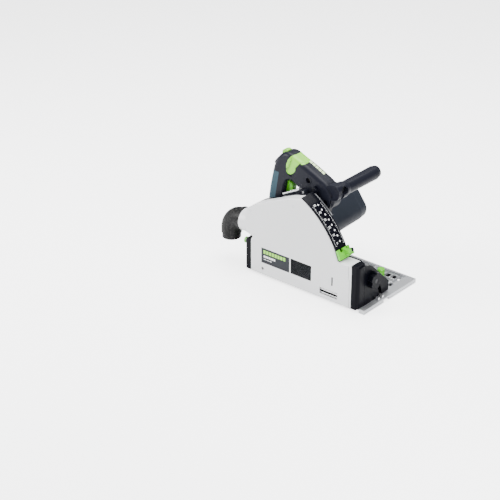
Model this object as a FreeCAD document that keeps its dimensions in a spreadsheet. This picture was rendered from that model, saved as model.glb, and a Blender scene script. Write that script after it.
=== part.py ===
import FreeCAD, Part
import math
import os
from types import SimpleNamespace

from FreeCAD import Placement, Rotation, Vector

# Track plunge saw. Millimetres, +X is the cutting direction, +Y runs from the blade to the motor,
# +Z is up. The origin is the centre of the base plate's sole. Most dimensions are counted from the
# saw datum instead: x from the rear edge of the side cover, y from the cover's outer face, z from the
# sole. shift_x and shift_y carry the datum into the origin's frame.

SIZES = {
    # base plate
    "base_length": 270, "base_width": 160, "skin": 3.2, "rim_height": 8, "rim_width": 5,
    "rear_overhang": 11.5, "side_overhang": 4, "open_front": 246.6, "open_edge": 12,
    "slot_rear": 20, "slot_front": 213, "slot_edge": 37.5,
    "groove_y": 72, "groove_width": 17, "groove_depth": 5.5, "groove_wall": 3,
    "strip_depth": 1, "strip_width": 10, "front_lip": 12,
    # blade and its drive
    "blade_dia": 160, "blade_plate": 1.4, "blade_kerf": 1.8, "blade_teeth": 48, "blade_bore": 20,
    "blade_y": 15.2, "blade_gap": 3, "cut_depth": 55,
    "pivot_x": 28, "pivot_z": 23, "arm": 98, "pivot_pin": 16, "pivot_boss": 28,
    "gear_module": 1, "gear_teeth": 39, "pinion_teeth": 11, "gear_width": 8, "gear_y": 45,
    "gear_direction": 124.7, "spindle_dia": 15, "flange_dia": 42, "neck_dia": 33,
    "neck_slot_gap": 1.2, "fit": 0.05,
    # blade guard
    "guard_y": 30, "guard_wall": 3, "band_gap": 3.5, "band_wall": 4, "band_low": 21, "band_high": 62,
    "cover_wall": 3, "cover_skirt": 20, "cover_floor": 4, "front_x": 231, "front_z": 88,
    "top_gap": 13.8, "crest_gap": 15.4, "top_normal": 114.05, "crest_normal": 106.1,
    "port_dia": 43.5, "port_wall": 3, "port_y": 21.8, "port_z": 92.4, "port_end": 31.8,
    "elbow_dia": 39, "outlet_dia": 36, "elbow_wall": 2.6, "elbow_bend": 28, "outlet_z": 45.5,
    # bevel
    "tilt_y": 10, "sector_x": 240, "sector_wall": 6, "rear_sector_x": -15, "clamp_y": 42,
    "clamp_z": 52, "clamp_dia": 8, "bevel": 47, "knob_dia": 31, "lug_gap": 0.3, "rib_radius": 80,
    "column_width": 23, "column_z": 92, "rear_column_z": 74,
    # motor
    "motor_half": 35, "motor_corner": 20, "motor_y": 64, "cap_y": 165, "motor_end": 188,
    "motor_wall": 2.5, "stator_dia": 62, "rotor_dia": 40, "air_gap": 0.6, "shaft_dia": 10,
    # handles
    "handle_y": 60, "handle_width": 33, "handle_wall": 3, "handle_round": 8,
    "bar_x": 154.5, "bar_z": 191.5, "bar_dia": 27, "bar_end": 175.5,
}

doc = FreeCAD.newDocument("plunge_saw")
sheet = doc.addObject("Spreadsheet::Sheet", "sizes")
for row, (name, value) in enumerate(SIZES.items(), 1):
    sheet.set(f"A{row}", name)
    sheet.set(f"B{row}", str(value))
    sheet.setAlias(f"B{row}", name)
doc.recompute()


class Size:
    """A length with its value and the sheet expression that drives it."""

    def __init__(self, value, text):
        self.value, self.text = float(value), text

    def _join(self, other, sign, back=False):
        o = other if isinstance(other, Size) else Size(other, f"({float(other):g})")
        a, b = (o, self) if back else (self, o)
        value = {"+": lambda: a.value + b.value, "-": lambda: a.value - b.value,
                 "*": lambda: a.value * b.value, "/": lambda: a.value / b.value}[sign]()
        return Size(value, f"({a.text} {sign} {b.text})")

    def __add__(self, o): return self._join(o, "+")
    def __radd__(self, o): return self._join(o, "+", True)
    def __sub__(self, o): return self._join(o, "-")
    def __rsub__(self, o): return self._join(o, "-", True)
    def __mul__(self, o): return self._join(o, "*")
    def __rmul__(self, o): return self._join(o, "*", True)
    def __truediv__(self, o): return self._join(o, "/")
    def __neg__(self): return 0 - self
    def __float__(self): return self.value


d = SimpleNamespace(**{k: Size(sheet.get(k), f"sizes.{k}") for k in SIZES})   # bound sizes
n = SimpleNamespace(**{k: float(sheet.get(k)) for k in SIZES})                # plain numbers


def asind(s): return Size(math.degrees(math.asin(float(s))), f"(asin({s.text}) / 1deg)")
def cosd(s): return Size(math.cos(math.radians(float(s))), f"cos({s.text} * 1deg)")
def sind(s): return Size(math.sin(math.radians(float(s))), f"sin({s.text} * 1deg)")


# ---- the datum and the plunge geometry
shift_x = d.rear_overhang - d.base_length / 2
shift_y = -(d.side_overhang + d.base_width / 2)
x0, y0 = float(shift_x), float(shift_y)
pivot_x, pivot_z = shift_x + d.pivot_x, d.pivot_z
rest_angle = asind((d.blade_dia / 2 + d.blade_gap - d.pivot_z) / d.arm)
down_angle = asind((d.blade_dia / 2 - d.cut_depth - d.pivot_z) / d.arm)
spindle_x = pivot_x + d.arm * cosd(rest_angle)
spindle_z = pivot_z + d.arm * sind(rest_angle)
gear_centre = d.gear_module * (d.gear_teeth + d.pinion_teeth) / 2
motor_x = spindle_x + gear_centre * cosd(d.gear_direction)
motor_z = spindle_z + gear_centre * sind(d.gear_direction)
band_out = d.arm + d.blade_dia / 2 + d.band_gap + d.band_wall
P, S, M = [(float(a), float(b)) for a, b in
           ((pivot_x, pivot_z), (spindle_x, spindle_z), (motor_x, motor_z))]
swing = float(rest_angle) - float(down_angle)
R_OUT, R_IN = float(band_out), float(band_out - d.band_wall)
print(f"spindle at rest {S[0]:.2f}, {S[1]:.2f}; motor axis {M[0]:.2f}, {M[1]:.2f}; "
      f"swing {swing:.3f} deg; band radius {R_OUT:.1f}")


# ---- helpers
def bind(obj, prop, size):
    if isinstance(size, Size):
        obj.setExpression(prop, size.text)
    else:
        parts = prop.split(".")
        if len(parts) == 1:
            setattr(obj, prop, size)
        else:
            obj.setExpression(prop, f"{float(size):g}")


def place(obj, x, y, z, turn=None):
    if turn is not None:
        obj.Placement = Placement(Vector(0, 0, 0), turn)
    for axis, v in zip("xyz", (x, y, z)):
        bind(obj, f"Placement.Base.{axis}", v)


ALONG = {"X": Rotation(), "Y": Rotation(Vector(1, 0, 0), Vector(0, 1, 0)),
         "Z": Rotation(Vector(1, 0, 0), Vector(0, 0, 1))}
made = []


def label(obj, name):
    obj.Label = name
    made.append(obj)
    return obj


def solid(name, shape, keep=None):
    """A sub-part whose outline is too free for sketch features."""
    if shape.ShapeType != "Solid" and len(shape.Solids) == 1:
        shape = shape.Solids[0]
    obj = doc.addObject("Part::Feature", name + "_shape")
    obj.Shape = shape
    return label(obj, name)


def new_sketch(body, plane, offset):
    sketch = body.newObject("Sketcher::SketchObject", body.Name + "_outline")
    origin = [o for o in body.Origin.OriginFeatures if o.Role == plane][0]
    sketch.AttachmentSupport = [(origin, "")]
    sketch.MapMode = "FlatFace"
    if offset is not None:
        bind(sketch, "AttachmentOffset.Base.z", offset)
    return sketch


def polygon(sketch, points):
    """A closed polygon with both coordinates of every corner driven by the sheet."""
    import Sketcher
    first = sketch.GeometryCount
    count = len(points)
    xy = [(float(a), float(b)) for a, b in points]
    for i in range(count):
        sketch.addGeometry(Part.LineSegment(Vector(*xy[i], 0), Vector(*xy[(i + 1) % count], 0)))
    for i in range(count):
        sketch.addConstraint(Sketcher.Constraint("Coincident", first + i, 2,
                                                 first + (i + 1) % count, 1))
    for i, point in enumerate(points):
        for kind, size in zip(("DistanceX", "DistanceY"), point):
            c = sketch.addConstraint(Sketcher.Constraint(kind, -1, 1, first + i, 1, float(size)))
            if isinstance(size, Size):
                sketch.setExpression(f"Constraints[{c}]", size.text)


def circle(sketch, a, b, r):
    import Sketcher
    g = sketch.addGeometry(Part.Circle(Vector(float(a), float(b), 0), Vector(0, 0, 1), float(r)))
    for kind, size in (("DistanceX", a), ("DistanceY", b)):
        c = sketch.addConstraint(Sketcher.Constraint(kind, -1, 1, g, 3, float(size)))
        if isinstance(size, Size):
            sketch.setExpression(f"Constraints[{c}]", size.text)
    c = sketch.addConstraint(Sketcher.Constraint("Radius", g, float(r)))
    if isinstance(r, Size):
        sketch.setExpression(f"Constraints[{c}]", r.text)


def turned(name, at, axis, profile):
    """A turned piece: profile holds (length, radius) pairs along the axis from the point at."""
    body = doc.addObject("PartDesign::Body", name + "_body")
    sketch = new_sketch(body, "XY_Plane", None)
    polygon(sketch, profile)
    turn = body.newObject("PartDesign::Revolution", name + "_turn")
    turn.Profile = sketch
    turn.ReferenceAxis = (sketch, ["H_Axis"])
    turn.Angle = 360
    place(body, *at, ALONG[axis])
    return label(body, name)


def feature(body, kind, sketch, length, down=False):
    f = body.newObject(f"PartDesign::{kind}", f"{body.Name}_{kind}")
    f.Profile = sketch
    bind(f, "Length", length)
    f.Reversed = down
    doc.recompute()
    return f


def cut_in(body, sketch, length, down=False):
    """A pocket, checked to have removed material."""
    before = body.Shape.Volume
    f = feature(body, "Pocket", sketch, length, down)
    assert body.Shape.Volume < before - 1, f"{body.Label}: a pocket cut nothing"
    return f


def wire(points, lift):
    """A closed wire: (a, b) is a corner, (am, bm, a, b) an arc through am, bm to a, b."""
    edges, last = [], points[0][-2:]
    for p in list(points[1:]) + [points[0][-2:]]:
        a, b = lift(*last), lift(*p[-2:])
        if (b - a).Length > 1e-6:
            if len(p) == 4:
                edges.append(Part.Arc(a, lift(*p[:2]), b).toShape())
            else:
                edges.append(Part.LineSegment(a, b).toShape())
        last = p[-2:]
    return Part.Wire(edges)


def prism(points, y1, y2):
    """Outline in x, z (origin frame), from datum y1 to y2."""
    face = Part.Face(wire(points, lambda x, z: Vector(x, y0 + y1, z)))
    return face.extrude(Vector(0, y2 - y1, 0))


def prism_x(points, x1, x2):
    """Outline in datum y, z, from datum x1 to x2."""
    face = Part.Face(wire(points, lambda y, z: Vector(x0 + x1, y0 + y, z)))
    return face.extrude(Vector(x2 - x1, 0, 0))


def prism_z(points, z1, z2):
    """Outline in datum x, y, from z1 to z2."""
    face = Part.Face(wire(points, lambda x, y: Vector(x0 + x, y0 + y, z1)))
    return face.extrude(Vector(0, 0, z2 - z1))


def rod(centre, r, y1, y2):
    """A cylinder along y about centre (x, z)."""
    return Part.makeCylinder(r, y2 - y1, Vector(centre[0], y0 + y1, centre[1]), Vector(0, 1, 0))


def tube(centre, r1, r2, y1, y2):
    return rod(centre, r1, y1, y2).cut(rod(centre, r2, y1 - 1, y2 + 1))


def box(x1, x2, y1, y2, z1, z2):
    return Part.makeBox(x2 - x1, y2 - y1, z2 - z1, Vector(x0 + x1, y0 + y1, z1))


def polar(r, angle, centre=P):
    a = math.radians(angle)
    return (centre[0] + r * math.cos(a), centre[1] + r * math.sin(a))


def ring_path(r1, r2, a1, a2, centre=P):
    """Outline of a ring segment between two angles."""
    mid = (a1 + a2) / 2
    return [polar(r1, a1, centre), polar(r2, a1, centre),
            polar(r2, mid, centre) + polar(r2, a2, centre), polar(r1, a2, centre),
            polar(r1, mid, centre) + polar(r1, a1, centre)]


def slot_path(r, half, a1, a2, centre=P):
    """Outline of a round-ended arc slot: mid radius r, half width half."""
    mid = (a1 + a2) / 2
    out, inn = r + half, r - half
    end = [polar(r, a, centre) for a in (a1, a2)]
    tip = lambda p, a, s: (p[0] - s * half * math.sin(math.radians(a)),
                           p[1] + s * half * math.cos(math.radians(a)))
    return [polar(out, a1, centre), polar(out, mid, centre) + polar(out, a2, centre),
            tip(end[1], a2, 1) + polar(inn, a2, centre), polar(inn, mid, centre)
            + polar(inn, a1, centre), tip(end[0], a1, -1) + polar(out, a1, centre)]


def union(first, *others):
    for other in others:
        first = first.fuse(other)
    return first.removeSplitter()


def moved(path, dx=0.0, dz=0.0):
    return [tuple(v + (dx, dz)[i % 2] for i, v in enumerate(p)) for p in path]


def rounded(shape, r, pick):
    edges = [e for e in shape.Edges if pick(e)]
    assert edges, "no edge picked"
    return shape.makeFillet(r, edges)


def on_plane(axis, value, tol=1e-3):
    """Edges that lie wholly at one coordinate."""
    def pick(e):
        bb = e.BoundBox
        low, high = getattr(bb, axis + "Min"), getattr(bb, axis + "Max")
        return abs(low - value) < tol and abs(high - value) < tol
    return pick

# ============================================================ base
skin, rim = n.skin, n.rim_height
BX1, BX2 = -n.rear_overhang, n.base_length - n.rear_overhang
BY1, BY2 = n.side_overhang, n.side_overhang + n.base_width

body = doc.addObject("PartDesign::Body", "base_plate_body")
label(body, "base_plate")
bx1, bx2 = shift_x - d.rear_overhang, shift_x - d.rear_overhang + d.base_length
by1, by2 = shift_y + d.side_overhang, shift_y + d.side_overhang + d.base_width
open_x1, open_x2 = bx1 - 1, shift_x + d.open_front
open_y = shift_y + d.open_edge
outline = new_sketch(body, "XY_Plane", None)
polygon(outline, [(open_x2, by1), (bx2, by1), (bx2, by2), (bx1, by2), (bx1, open_y), (open_x2, open_y)])
feature(body, "Pad", outline, d.rim_height)
# the top is hollowed to a thin skin, leaving rims, ribs and the raised rail channel
channel_1 = shift_y + d.groove_y - d.groove_width / 2 - d.groove_wall
channel_2 = shift_y + d.groove_y + d.groove_width / 2 + d.groove_wall
w = d.rim_width
front_y1 = shift_y + d.slot_edge
pans = [(bx1 + w, shift_x + 88, channel_2, by2 - w), (shift_x + 88 + w, shift_x + 172, channel_2, by2 - w),
        (shift_x + 172 + w, shift_x + 240, channel_2, by2 - w)]
for i, (a, b, low, high) in enumerate(pans):
    s = new_sketch(body, "XY_Plane", d.rim_height)
    polygon(s, [(a, low), (b, low), (b, high), (a, high)])
    cut_in(body, s, d.rim_height - d.skin)
s = new_sketch(body, "XY_Plane", d.rim_height)
polygon(s, [(bx1 - 1, open_y - 1), (open_x2, open_y - 1), (open_x2, channel_1), (bx1 - 1, channel_1)])
cut_in(body, s, d.rim_height - d.skin)
# the blade and gear case pass through this opening
s = new_sketch(body, "XY_Plane", 0)
slot_1, slot_2 = shift_x + d.slot_rear, shift_x + d.slot_front
gear_1, gear_2 = shift_x + 92, shift_x + 160
polygon(s, [(slot_1, open_y - 1), (slot_2, open_y - 1), (slot_2, front_y1), (gear_2, front_y1),
            (gear_2, channel_1), (gear_1, channel_1), (gear_1, front_y1), (slot_1, front_y1)])
cut_in(body, s, d.rim_height, down=True)
# guide groove for the rail's rib
s = new_sketch(body, "XY_Plane", 0)
polygon(s, [(bx1 - 1, channel_1 + d.groove_wall), (bx2 + 1, channel_1 + d.groove_wall),
            (bx2 + 1, channel_2 - d.groove_wall), (bx1 - 1, channel_2 - d.groove_wall)])
cut_in(body, s, d.groove_depth, down=True)
# recesses for the two glide strips, and windows in the front corner
strip_ys = [shift_y + 92, shift_y + 122]
for y in strip_ys:
    s = new_sketch(body, "XY_Plane", 0)
    polygon(s, [(bx1 + 6, y), (bx2 - 16, y), (bx2 - 16, y + d.strip_width), (bx1 + 6, y + d.strip_width)])
    cut_in(body, s, d.strip_depth, down=True)
windows = [(208, 222, 140, 150), (226, 234, 140, 150)]
for a, b, low, high in windows:
    s = new_sketch(body, "XY_Plane", 0)
    polygon(s, [(shift_x + a, by1 + low), (shift_x + b, by1 + low), (shift_x + b, by1 + high),
                (shift_x + a, by1 + high)])
    cut_in(body, s, d.rim_height, down=True)
s = new_sketch(body, "XY_Plane", 0)
circle(s, shift_x + 237, shift_y + 110, 2.6)
cut_in(body, s, d.rim_height, down=True)
# blind seats for the rail adjusters
adjusters = [(shift_x + 198, shift_y + 138), (shift_x + 20, shift_y + 138)]
s = new_sketch(body, "XY_Plane", d.strip_depth + 0.4)
for a, b in adjusters:
    circle(s, a, b, 3 + d.fit)
cut_in(body, s, 5, down=True)

strips = []
for i, y in enumerate(strip_ys):
    strip = doc.addObject("Part::Box", f"strip_{i}")
    bind(strip, "Length", d.base_length - 22)
    bind(strip, "Width", d.strip_width)
    bind(strip, "Height", d.strip_depth)
    place(strip, bx1 + 6, y, 0)
    strips.append(strip)
glide = doc.addObject("Part::Compound", "glide_pair")
glide.Links = strips
label(glide, "glide_strips")

# ---- bevel lugs: fixed arms that carry the clamp bolts and an arc groove about the tilt axis
tilt = (n.tilt_y, 0.0)
clamp_r = math.hypot(n.clamp_y - n.tilt_y, n.clamp_z)
clamp_a = math.degrees(math.atan2(n.clamp_z, n.clamp_y - n.tilt_y))


def lug(x1, x2, groove_1, groove_2, top):
    c1 = n.groove_y - n.groove_width / 2 - n.groove_wall
    c2 = n.groove_y + n.groove_width / 2 + n.groove_wall
    shape = prism_x([(26, skin), (c1, skin), (c1, rim), (min(80, c2), rim), (80, 30), (62, 46),
                     (50, min(61, top)), (42, top), (26, top)], x1, x2)
    groove = prism_x(ring_path(n.rib_radius - 2.3, n.rib_radius + 2.3, -5, 100, tilt), groove_1, groove_2)
    hole = Part.makeCylinder(n.clamp_dia / 2, x2 - x1 + 2,
                             Vector(x0 + x1 - 1, y0 + n.clamp_y, n.clamp_z), Vector(1, 0, 0))
    return shape.cut(groove).cut(hole)


lug_front, lug_rear = n.sector_x - n.lug_gap, n.rear_sector_x + n.sector_wall + n.lug_gap
solid("front_bevel_lug", lug(n.front_x + 0.6, lug_front, lug_front - 3, lug_front + 1, 67))
solid("rear_bevel_lug", lug(lug_rear, -0.6, lug_rear - 1, lug_rear + 3, 64))

bolts = []
for at, direction, length in ((n.front_x + 0.6, 1, 24.4), (-0.6, -1, 24.4)):
    p = Vector(x0 + at, y0 + n.clamp_y, n.clamp_z)
    bolts.append(Part.makeCylinder(n.clamp_dia / 2, length, p, Vector(direction, 0, 0)))
solid("clamp_bolts", Part.makeCompound(bolts))

# a small frame on the front lip that shows where the blade cuts
frame = box(249, 256, 50, 66, rim, rim + 6).cut(box(247, 258, 54, 62, rim + 1.5, rim + 7))
solid("cut_indicator", frame)

# ============================================================ blade guard and tilting housing
skirt_y = n.cover_skirt
R_COVER = R_OUT - 2.5


def guard_path():
    """The guard's side outline: front block, arc about the plunge pivot, and two tangents
    that follow the resting blade at the top."""
    unit = lambda a: (math.cos(math.radians(a)), math.sin(math.radians(a)))
    n1, n2 = unit(n.top_normal), unit(n.crest_normal)
    r = n.blade_dia / 2
    k1 = r + n.top_gap + S[0] * n1[0] + S[1] * n1[1]
    k2 = r + n.crest_gap + S[0] * n2[0] + S[1] * n2[1]
    det = n1[0] * n2[1] - n1[1] * n2[0]
    corner = ((k1 * n2[1] - k2 * n1[1]) / det, (n1[0] * k2 - n2[0] * k1) / det)
    rear_x = x0 + 9.3
    shoulder = (rear_x, (k1 - rear_x * n1[0]) / n1[1])
    gap = k2 - P[0] * n2[0] - P[1] * n2[1]
    crest_angle = n.crest_normal - math.degrees(math.acos(gap / R_COVER))
    low = math.degrees(math.asin((n.front_z - P[1]) / R_COVER))
    crest = polar(R_COVER, crest_angle)
    mid = polar(R_COVER, (low + crest_angle) / 2)
    fx = x0 + n.front_x
    path = [(x0, n.cover_floor), (fx, n.cover_floor), (fx, n.front_z - 3), (fx - 3, n.front_z),
            polar(R_COVER, low), mid + crest, corner, shoulder,
            (x0 - 12, shoulder[1] - 14.9), (x0 - 12, 80), (x0 + 4, 76), (x0, 68)]
    return path, crest_angle, low


outline, crest_angle, low_angle = guard_path()
full = Part.Face(wire(outline, lambda x, z: Vector(x, y0, z)))
inner = full.makeOffset2D(-n.cover_wall, 2)
print(f"guard outline: crest at {crest_angle:.1f} deg, arc foot at {low_angle:.1f} deg")


def slab(face, y1, y2):
    shape = face.copy()
    shape.translate(Vector(0, y1, 0))
    return shape.extrude(Vector(0, y2 - y1, 0))


beyond = rod(P, 2 * R_OUT, -5, 60).cut(rod(P, R_IN - 0.5, -6, 61))     # outside the blade's sweep
mouth = box(n.slot_rear - 12, 240, n.cover_wall, n.guard_y, -1, 30)    # the blade leaves here
tube_at = lambda r, x1, x2: Part.makeCylinder(r, x2 - x1, Vector(x0 + x1, y0 + n.port_y, n.port_z),
                                              Vector(1, 0, 0))

# side cover: a wall with a skirt round the top and rear, and the dust port
cover_top = lambda e: (abs(e.BoundBox.YMin - y0) < 1e-3 and abs(e.BoundBox.YMax - y0) < 1e-3
                       and e.BoundBox.ZMin > n.front_z - 0.01)
wall = rounded(slab(full, 0, n.cover_wall + 0.0), n.cover_wall - 0.6, cover_top)
skirt = slab(full, n.cover_wall, skirt_y).cut(slab(inner, 0, skirt_y + 1)).cut(beyond).cut(mouth)
port = tube_at(n.port_dia / 2, -n.port_end, 12)
port_bore = tube_at(n.port_dia / 2 - n.port_wall, -n.port_end - 1, 13)
chamber = slab(inner, n.cover_wall, n.guard_y)
port = port.cut(port_bore).cut(chamber)
cover = union(wall, skirt)
cover = cover.cut(port_bore.common(box(-40, 13, n.cover_wall, 60, 0, 200)))
cover = union(cover, port)
window_z = (28.8, 59.6)
label_x, pane_x = (24.7, 91.0), (93.6, 141.4)
cover = cover.cut(box(*label_x, -1, 0.8, *window_z)).cut(box(*pane_x, -1, 4, *window_z))
cover = cover.cut(box(160.7, 201, -1, 4, 12, 25)).cut(box(187, 190.2, -1, 4, 36, 53.5))
cover = cover.cut(rod((x0 + 27.4, 16.6), 3, -1, 4))
screw_at = [(x0 - 1.7, 126.7), (x0 + 98.8, 165.4), (x0 + 8, 80)]
for c in screw_at:
    cover = cover.cut(rod(c, 2, -1, 8)).cut(rod(c, 3.6, -1, 1.2))
# the split line between the cover and its front end piece
for seam in ((223.6, 224.4, 60, 90), (224.4, 227.2, 60, 60.8), (226.4, 227.2, 4, 60)):
    cover = cover.cut(box(seam[0], seam[1], -1, 0.8, seam[2], seam[3]))
solid("side_cover", cover)
solid("cover_screws", Part.makeCompound([union(rod(c, 2, 1.2, 8), rod(c, 3.5, 0.4, 1.2)) for c in screw_at]))
solid("label_plate", box(label_x[0] + 0.1, label_x[1] - 0.1, 0.1, 0.8, window_z[0] + 0.1, window_z[1] - 0.1))
solid("view_window", box(pane_x[0] + 0.1, pane_x[1] - 0.1, 0.6, 2.6, window_z[0] + 0.1, window_z[1] - 0.1))
bars = union(box(158, 160.6, 3, 7, 10, 27), box(201.1, 203, 3, 7, 10, 27),
             box(158, 203, 3, 7, 13.5, 15.5), box(158, 203, 3, 7, 20, 22.5))
solid("splinter_guide", bars)

# front end piece of the guard, outside the blade's sweep
block = prism([(x0 + 190, n.cover_floor), (x0 + n.front_x, n.cover_floor), (x0 + n.front_x, n.front_z - 3),
               (x0 + n.front_x - 3, n.front_z), (x0 + 190, n.front_z)], n.cover_wall, n.guard_y)
solid("front_block", block.cut(rod(P, R_OUT - 0.3, -5, 60)).cut(bars))

# guard casting: inner wall with the arc slot for the spindle neck, rear skirt and curved front band
neck = n.neck_dia / 2 + n.neck_slot_gap
low = float(down_angle) - 1
casting = slab(full, n.guard_y, n.guard_y + n.guard_wall)
casting = union(casting, slab(full, skirt_y, n.guard_y).cut(slab(inner, 0, 60)).cut(beyond).cut(mouth))
band = prism(ring_path(R_IN, R_OUT, n.band_low - 3, crest_angle), n.cover_wall, n.guard_y + n.guard_wall)
casting = union(casting, band)
casting = casting.cut(port_bore).cut(tube_at(n.port_dia / 2, -n.port_end - 1, 12))
casting = casting.cut(prism(slot_path(n.arm, neck, low, float(rest_angle)), 20, 60))
casting = casting.cut(rod(P, n.pivot_pin / 2, 20, 60))
casting = casting.cut(block) if block.common(casting).Volume > 1 else casting
solid("guard_casting", casting)

scale_a = (28.0, 56.0)
solid("depth_scale", prism(ring_path(R_OUT, R_OUT + 0.6, *scale_a), 5, 31))
strip = prism(ring_path(R_OUT - 2.5, R_OUT + 0.6, 45, crest_angle - 1.5), n.guard_y + n.guard_wall,
              n.guard_y + n.guard_wall + 2.6)
solid("edge_strip", strip)

# sectors: the parts of the housing that slide on the lugs when the saw tilts
def sector(x1, x2, rib_1, rib_2, top, column_x, column_top):
    k = top / 92.0
    z = lambda v: v * k if v > 40 else v
    c1 = n.groove_y - n.groove_width / 2 - n.groove_wall
    plate = prism_x([(n.column_width - 3, 5), (c1 - 3, 5), (c1 - 1, rim + 2), (94, rim + 2), (94, 29), (67, min(z(55), 55)), (46, z(75)),
                     (34, z(84)), (n.column_width - 3, z(88))], x1, x2)
    rib = prism_x(ring_path(n.rib_radius - 1.9, n.rib_radius + 1.9, 5, 40, tilt), rib_1, rib_2)
    rib = rib.common(prism_x([(24, rim + 2), (92, rim + 2), (92, 80), (24, 80)], rib_1 - 1, rib_2 + 1))
    column = box(min(column_x), max(column_x), 0, n.column_width, 5, column_top)
    nose = max(column_x) if x1 > 0 else min(column_x)
    column = rounded(column, 6.5, lambda e: abs(e.BoundBox.XMin - x0 - nose) < 1e-3
                     and abs(e.BoundBox.XMax - x0 - nose) < 1e-3)
    shape = union(plate, rib, column)
    slot = prism_x(slot_path(clamp_r, n.clamp_dia / 2 + 0.3, clamp_a - n.bevel - 0.5, clamp_a + 1.5, tilt),
                   x1 - 1, x2 + 1)
    return shape.cut(slot)


front_1, front_2 = n.sector_x, n.sector_x + n.sector_wall
solid("front_sector", sector(front_1, front_2, front_1 - 2.5, front_1 + 0.1, n.column_z,
                             (n.front_x, front_2 + 0.4), n.column_z - 1))
rear_1, rear_2 = n.rear_sector_x, n.rear_sector_x + n.sector_wall
solid("rear_sector", sector(rear_1, rear_2, rear_2 - 0.1, rear_2 + 2.5, n.rear_column_z,
                            (rear_1 - 0.4, 0), n.rear_column_z - 6))

# clamp knobs: five lobes round the bolt
def clamp_knob(name, x1, x2):
    c = Vector(x0 + x1, y0 + n.clamp_y, n.clamp_z)
    depth = x2 - x1
    shape = Part.makeCylinder(n.knob_dia / 2, depth, c, Vector(1, 0, 0))
    for i in range(5):
        y, z = polar(n.knob_dia / 2 + 3.2, 36 + 72 * i, (n.clamp_y, n.clamp_z))
        shape = shape.cut(Part.makeCylinder(6, depth + 2, Vector(x0 + x1 - 1, y0 + y, z), Vector(1, 0, 0)))
    bore = Part.makeCylinder(n.clamp_dia / 2 + n.fit, depth + 2, c - Vector(1, 0, 0), Vector(1, 0, 0))
    solid(name, shape.cut(bore))


clamp_knob("front_clamp_knob", front_2 + 0.5, front_2 + 10.5)
clamp_knob("rear_clamp_knob", rear_1 - 10.5, rear_1 - 0.5)

# plunge pin and its torsion spring, which lifts the motor
pin_at = (pivot_x, shift_y + d.guard_y, pivot_z)
turned("plunge_pin", pin_at, "Y", [(0, 0), (0, d.pivot_pin / 2), (33, d.pivot_pin / 2), (33, 0)])
coils = [Part.makeTorus(n.pivot_pin / 2 + 2.6, 1.3, Vector(P[0], y0 + 52 + 2.3 * i, P[1]), Vector(0, 1, 0))
         for i in range(5)]
collar_1 = tube(P, n.pivot_pin / 2 + 1.6, n.pivot_pin / 2, 51.6, 62.6)
solid("return_spring", union(collar_1, *coils))

# ============================================================ dust elbow
bend, er = n.elbow_bend, n.elbow_dia / 2
py, pz, xe = y0 + n.port_y, n.port_z, x0 - n.port_end - 0.5
turn_x = xe - 6


def elbow_run(r, start_x, low):
    """A pipe from the port, round the bend and down to the outlet."""
    arc = Part.Arc(Vector(turn_x, py, pz),
                   Vector(turn_x - bend * math.sin(math.radians(45)), py, pz - bend * (1 - math.cos(math.radians(45)))),
                   Vector(turn_x - bend, py, pz - bend)).toShape()
    path = Part.Wire([Part.LineSegment(Vector(start_x, py, pz), Vector(turn_x, py, pz)).toShape(), arc,
                      Part.LineSegment(Vector(turn_x - bend, py, pz - bend), Vector(turn_x - bend, py, low)).toShape()])
    circle_wire = Part.Wire([Part.Circle(Vector(start_x, py, pz), Vector(1, 0, 0), r).toShape()])
    return path.makePipeShell([circle_wire], True, True)


spigot_r = n.port_dia / 2 - n.port_wall - n.fit
elbow = elbow_run(er, xe, n.outlet_z + 10)
collar = Part.makeCylinder(n.outlet_dia / 2, 16, Vector(turn_x - bend, py, n.outlet_z), Vector(0, 0, 1))
spigot = Part.makeCylinder(spigot_r, 14, Vector(xe, py, pz), Vector(1, 0, 0))
sleeve = Part.makeCylinder(n.port_dia / 2, 7, Vector(xe - 7, py, pz), Vector(1, 0, 0))
elbow = union(elbow, collar, spigot, sleeve)
bore = elbow_run(er - n.elbow_wall - 1.4, xe + 15, n.outlet_z - 1)
solid("dust_elbow", elbow.cut(bore))

# ============================================================ blade, spindle and gears
BY = n.blade_y


def gear_shape(teeth, pressure, root, tip, y1, y2, centre, phase, backlash):
    """An involute spur gear about the y axis through centre; phase turns one tooth's middle."""
    pitch = n.gear_module * teeth / 2
    base = pitch * math.cos(math.radians(pressure))
    inv = lambda t: math.tan(t) - t
    half = math.pi / (2 * teeth) - backlash / (2 * pitch) + inv(math.radians(pressure))
    radius_at = lambda r: half - inv(math.acos(min(1.0, base / r)))
    radii = [max(root, base) + (tip - max(root, base)) * k / 5 for k in range(6)]
    points = []
    for i in range(teeth):
        mid = math.radians(phase) + 2 * math.pi * i / teeth
        rise = [(r, mid - radius_at(r)) for r in radii]
        fall = [(r, mid + radius_at(r)) for r in reversed(radii)]
        flank = [(root, rise[0][1])] + rise + fall + [(root, fall[-1][1])]
        points += [(centre[0] + r * math.cos(a), centre[1] + r * math.sin(a)) for r, a in flank]
    return prism(points, y1, y2)


pitch_1, pitch_2 = n.gear_module * n.gear_teeth / 2, n.gear_module * n.pinion_teeth / 2
line = math.degrees(math.atan2(M[1] - S[1], M[0] - S[0]))
G1, G2 = n.gear_y, n.gear_y + n.gear_width
gear = gear_shape(int(n.gear_teeth), 25, pitch_1 - 1.15 * n.gear_module,
                  pitch_1 + 0.8 * n.gear_module, G1, G2, S, line, 0.2)
gear = gear.cut(rod(S, n.spindle_dia / 2, G1 - 1, G2 + 1))
gear = gear.cut(tube(S, 15.5, 10.5, G1 - 1, G1 + 2)).cut(tube(S, 15.5, 10.5, G2 - 2, G2 + 1))
solid("spindle_gear", gear)
pinion_phase = line + 180 + 180 / n.pinion_teeth
pinion = gear_shape(int(n.pinion_teeth), 25, pitch_2 - 1.15 * n.gear_module, pitch_2 + 0.8 * n.gear_module,
                    G1 - 1, G2 + 1, M, pinion_phase, 0.2)

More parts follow.
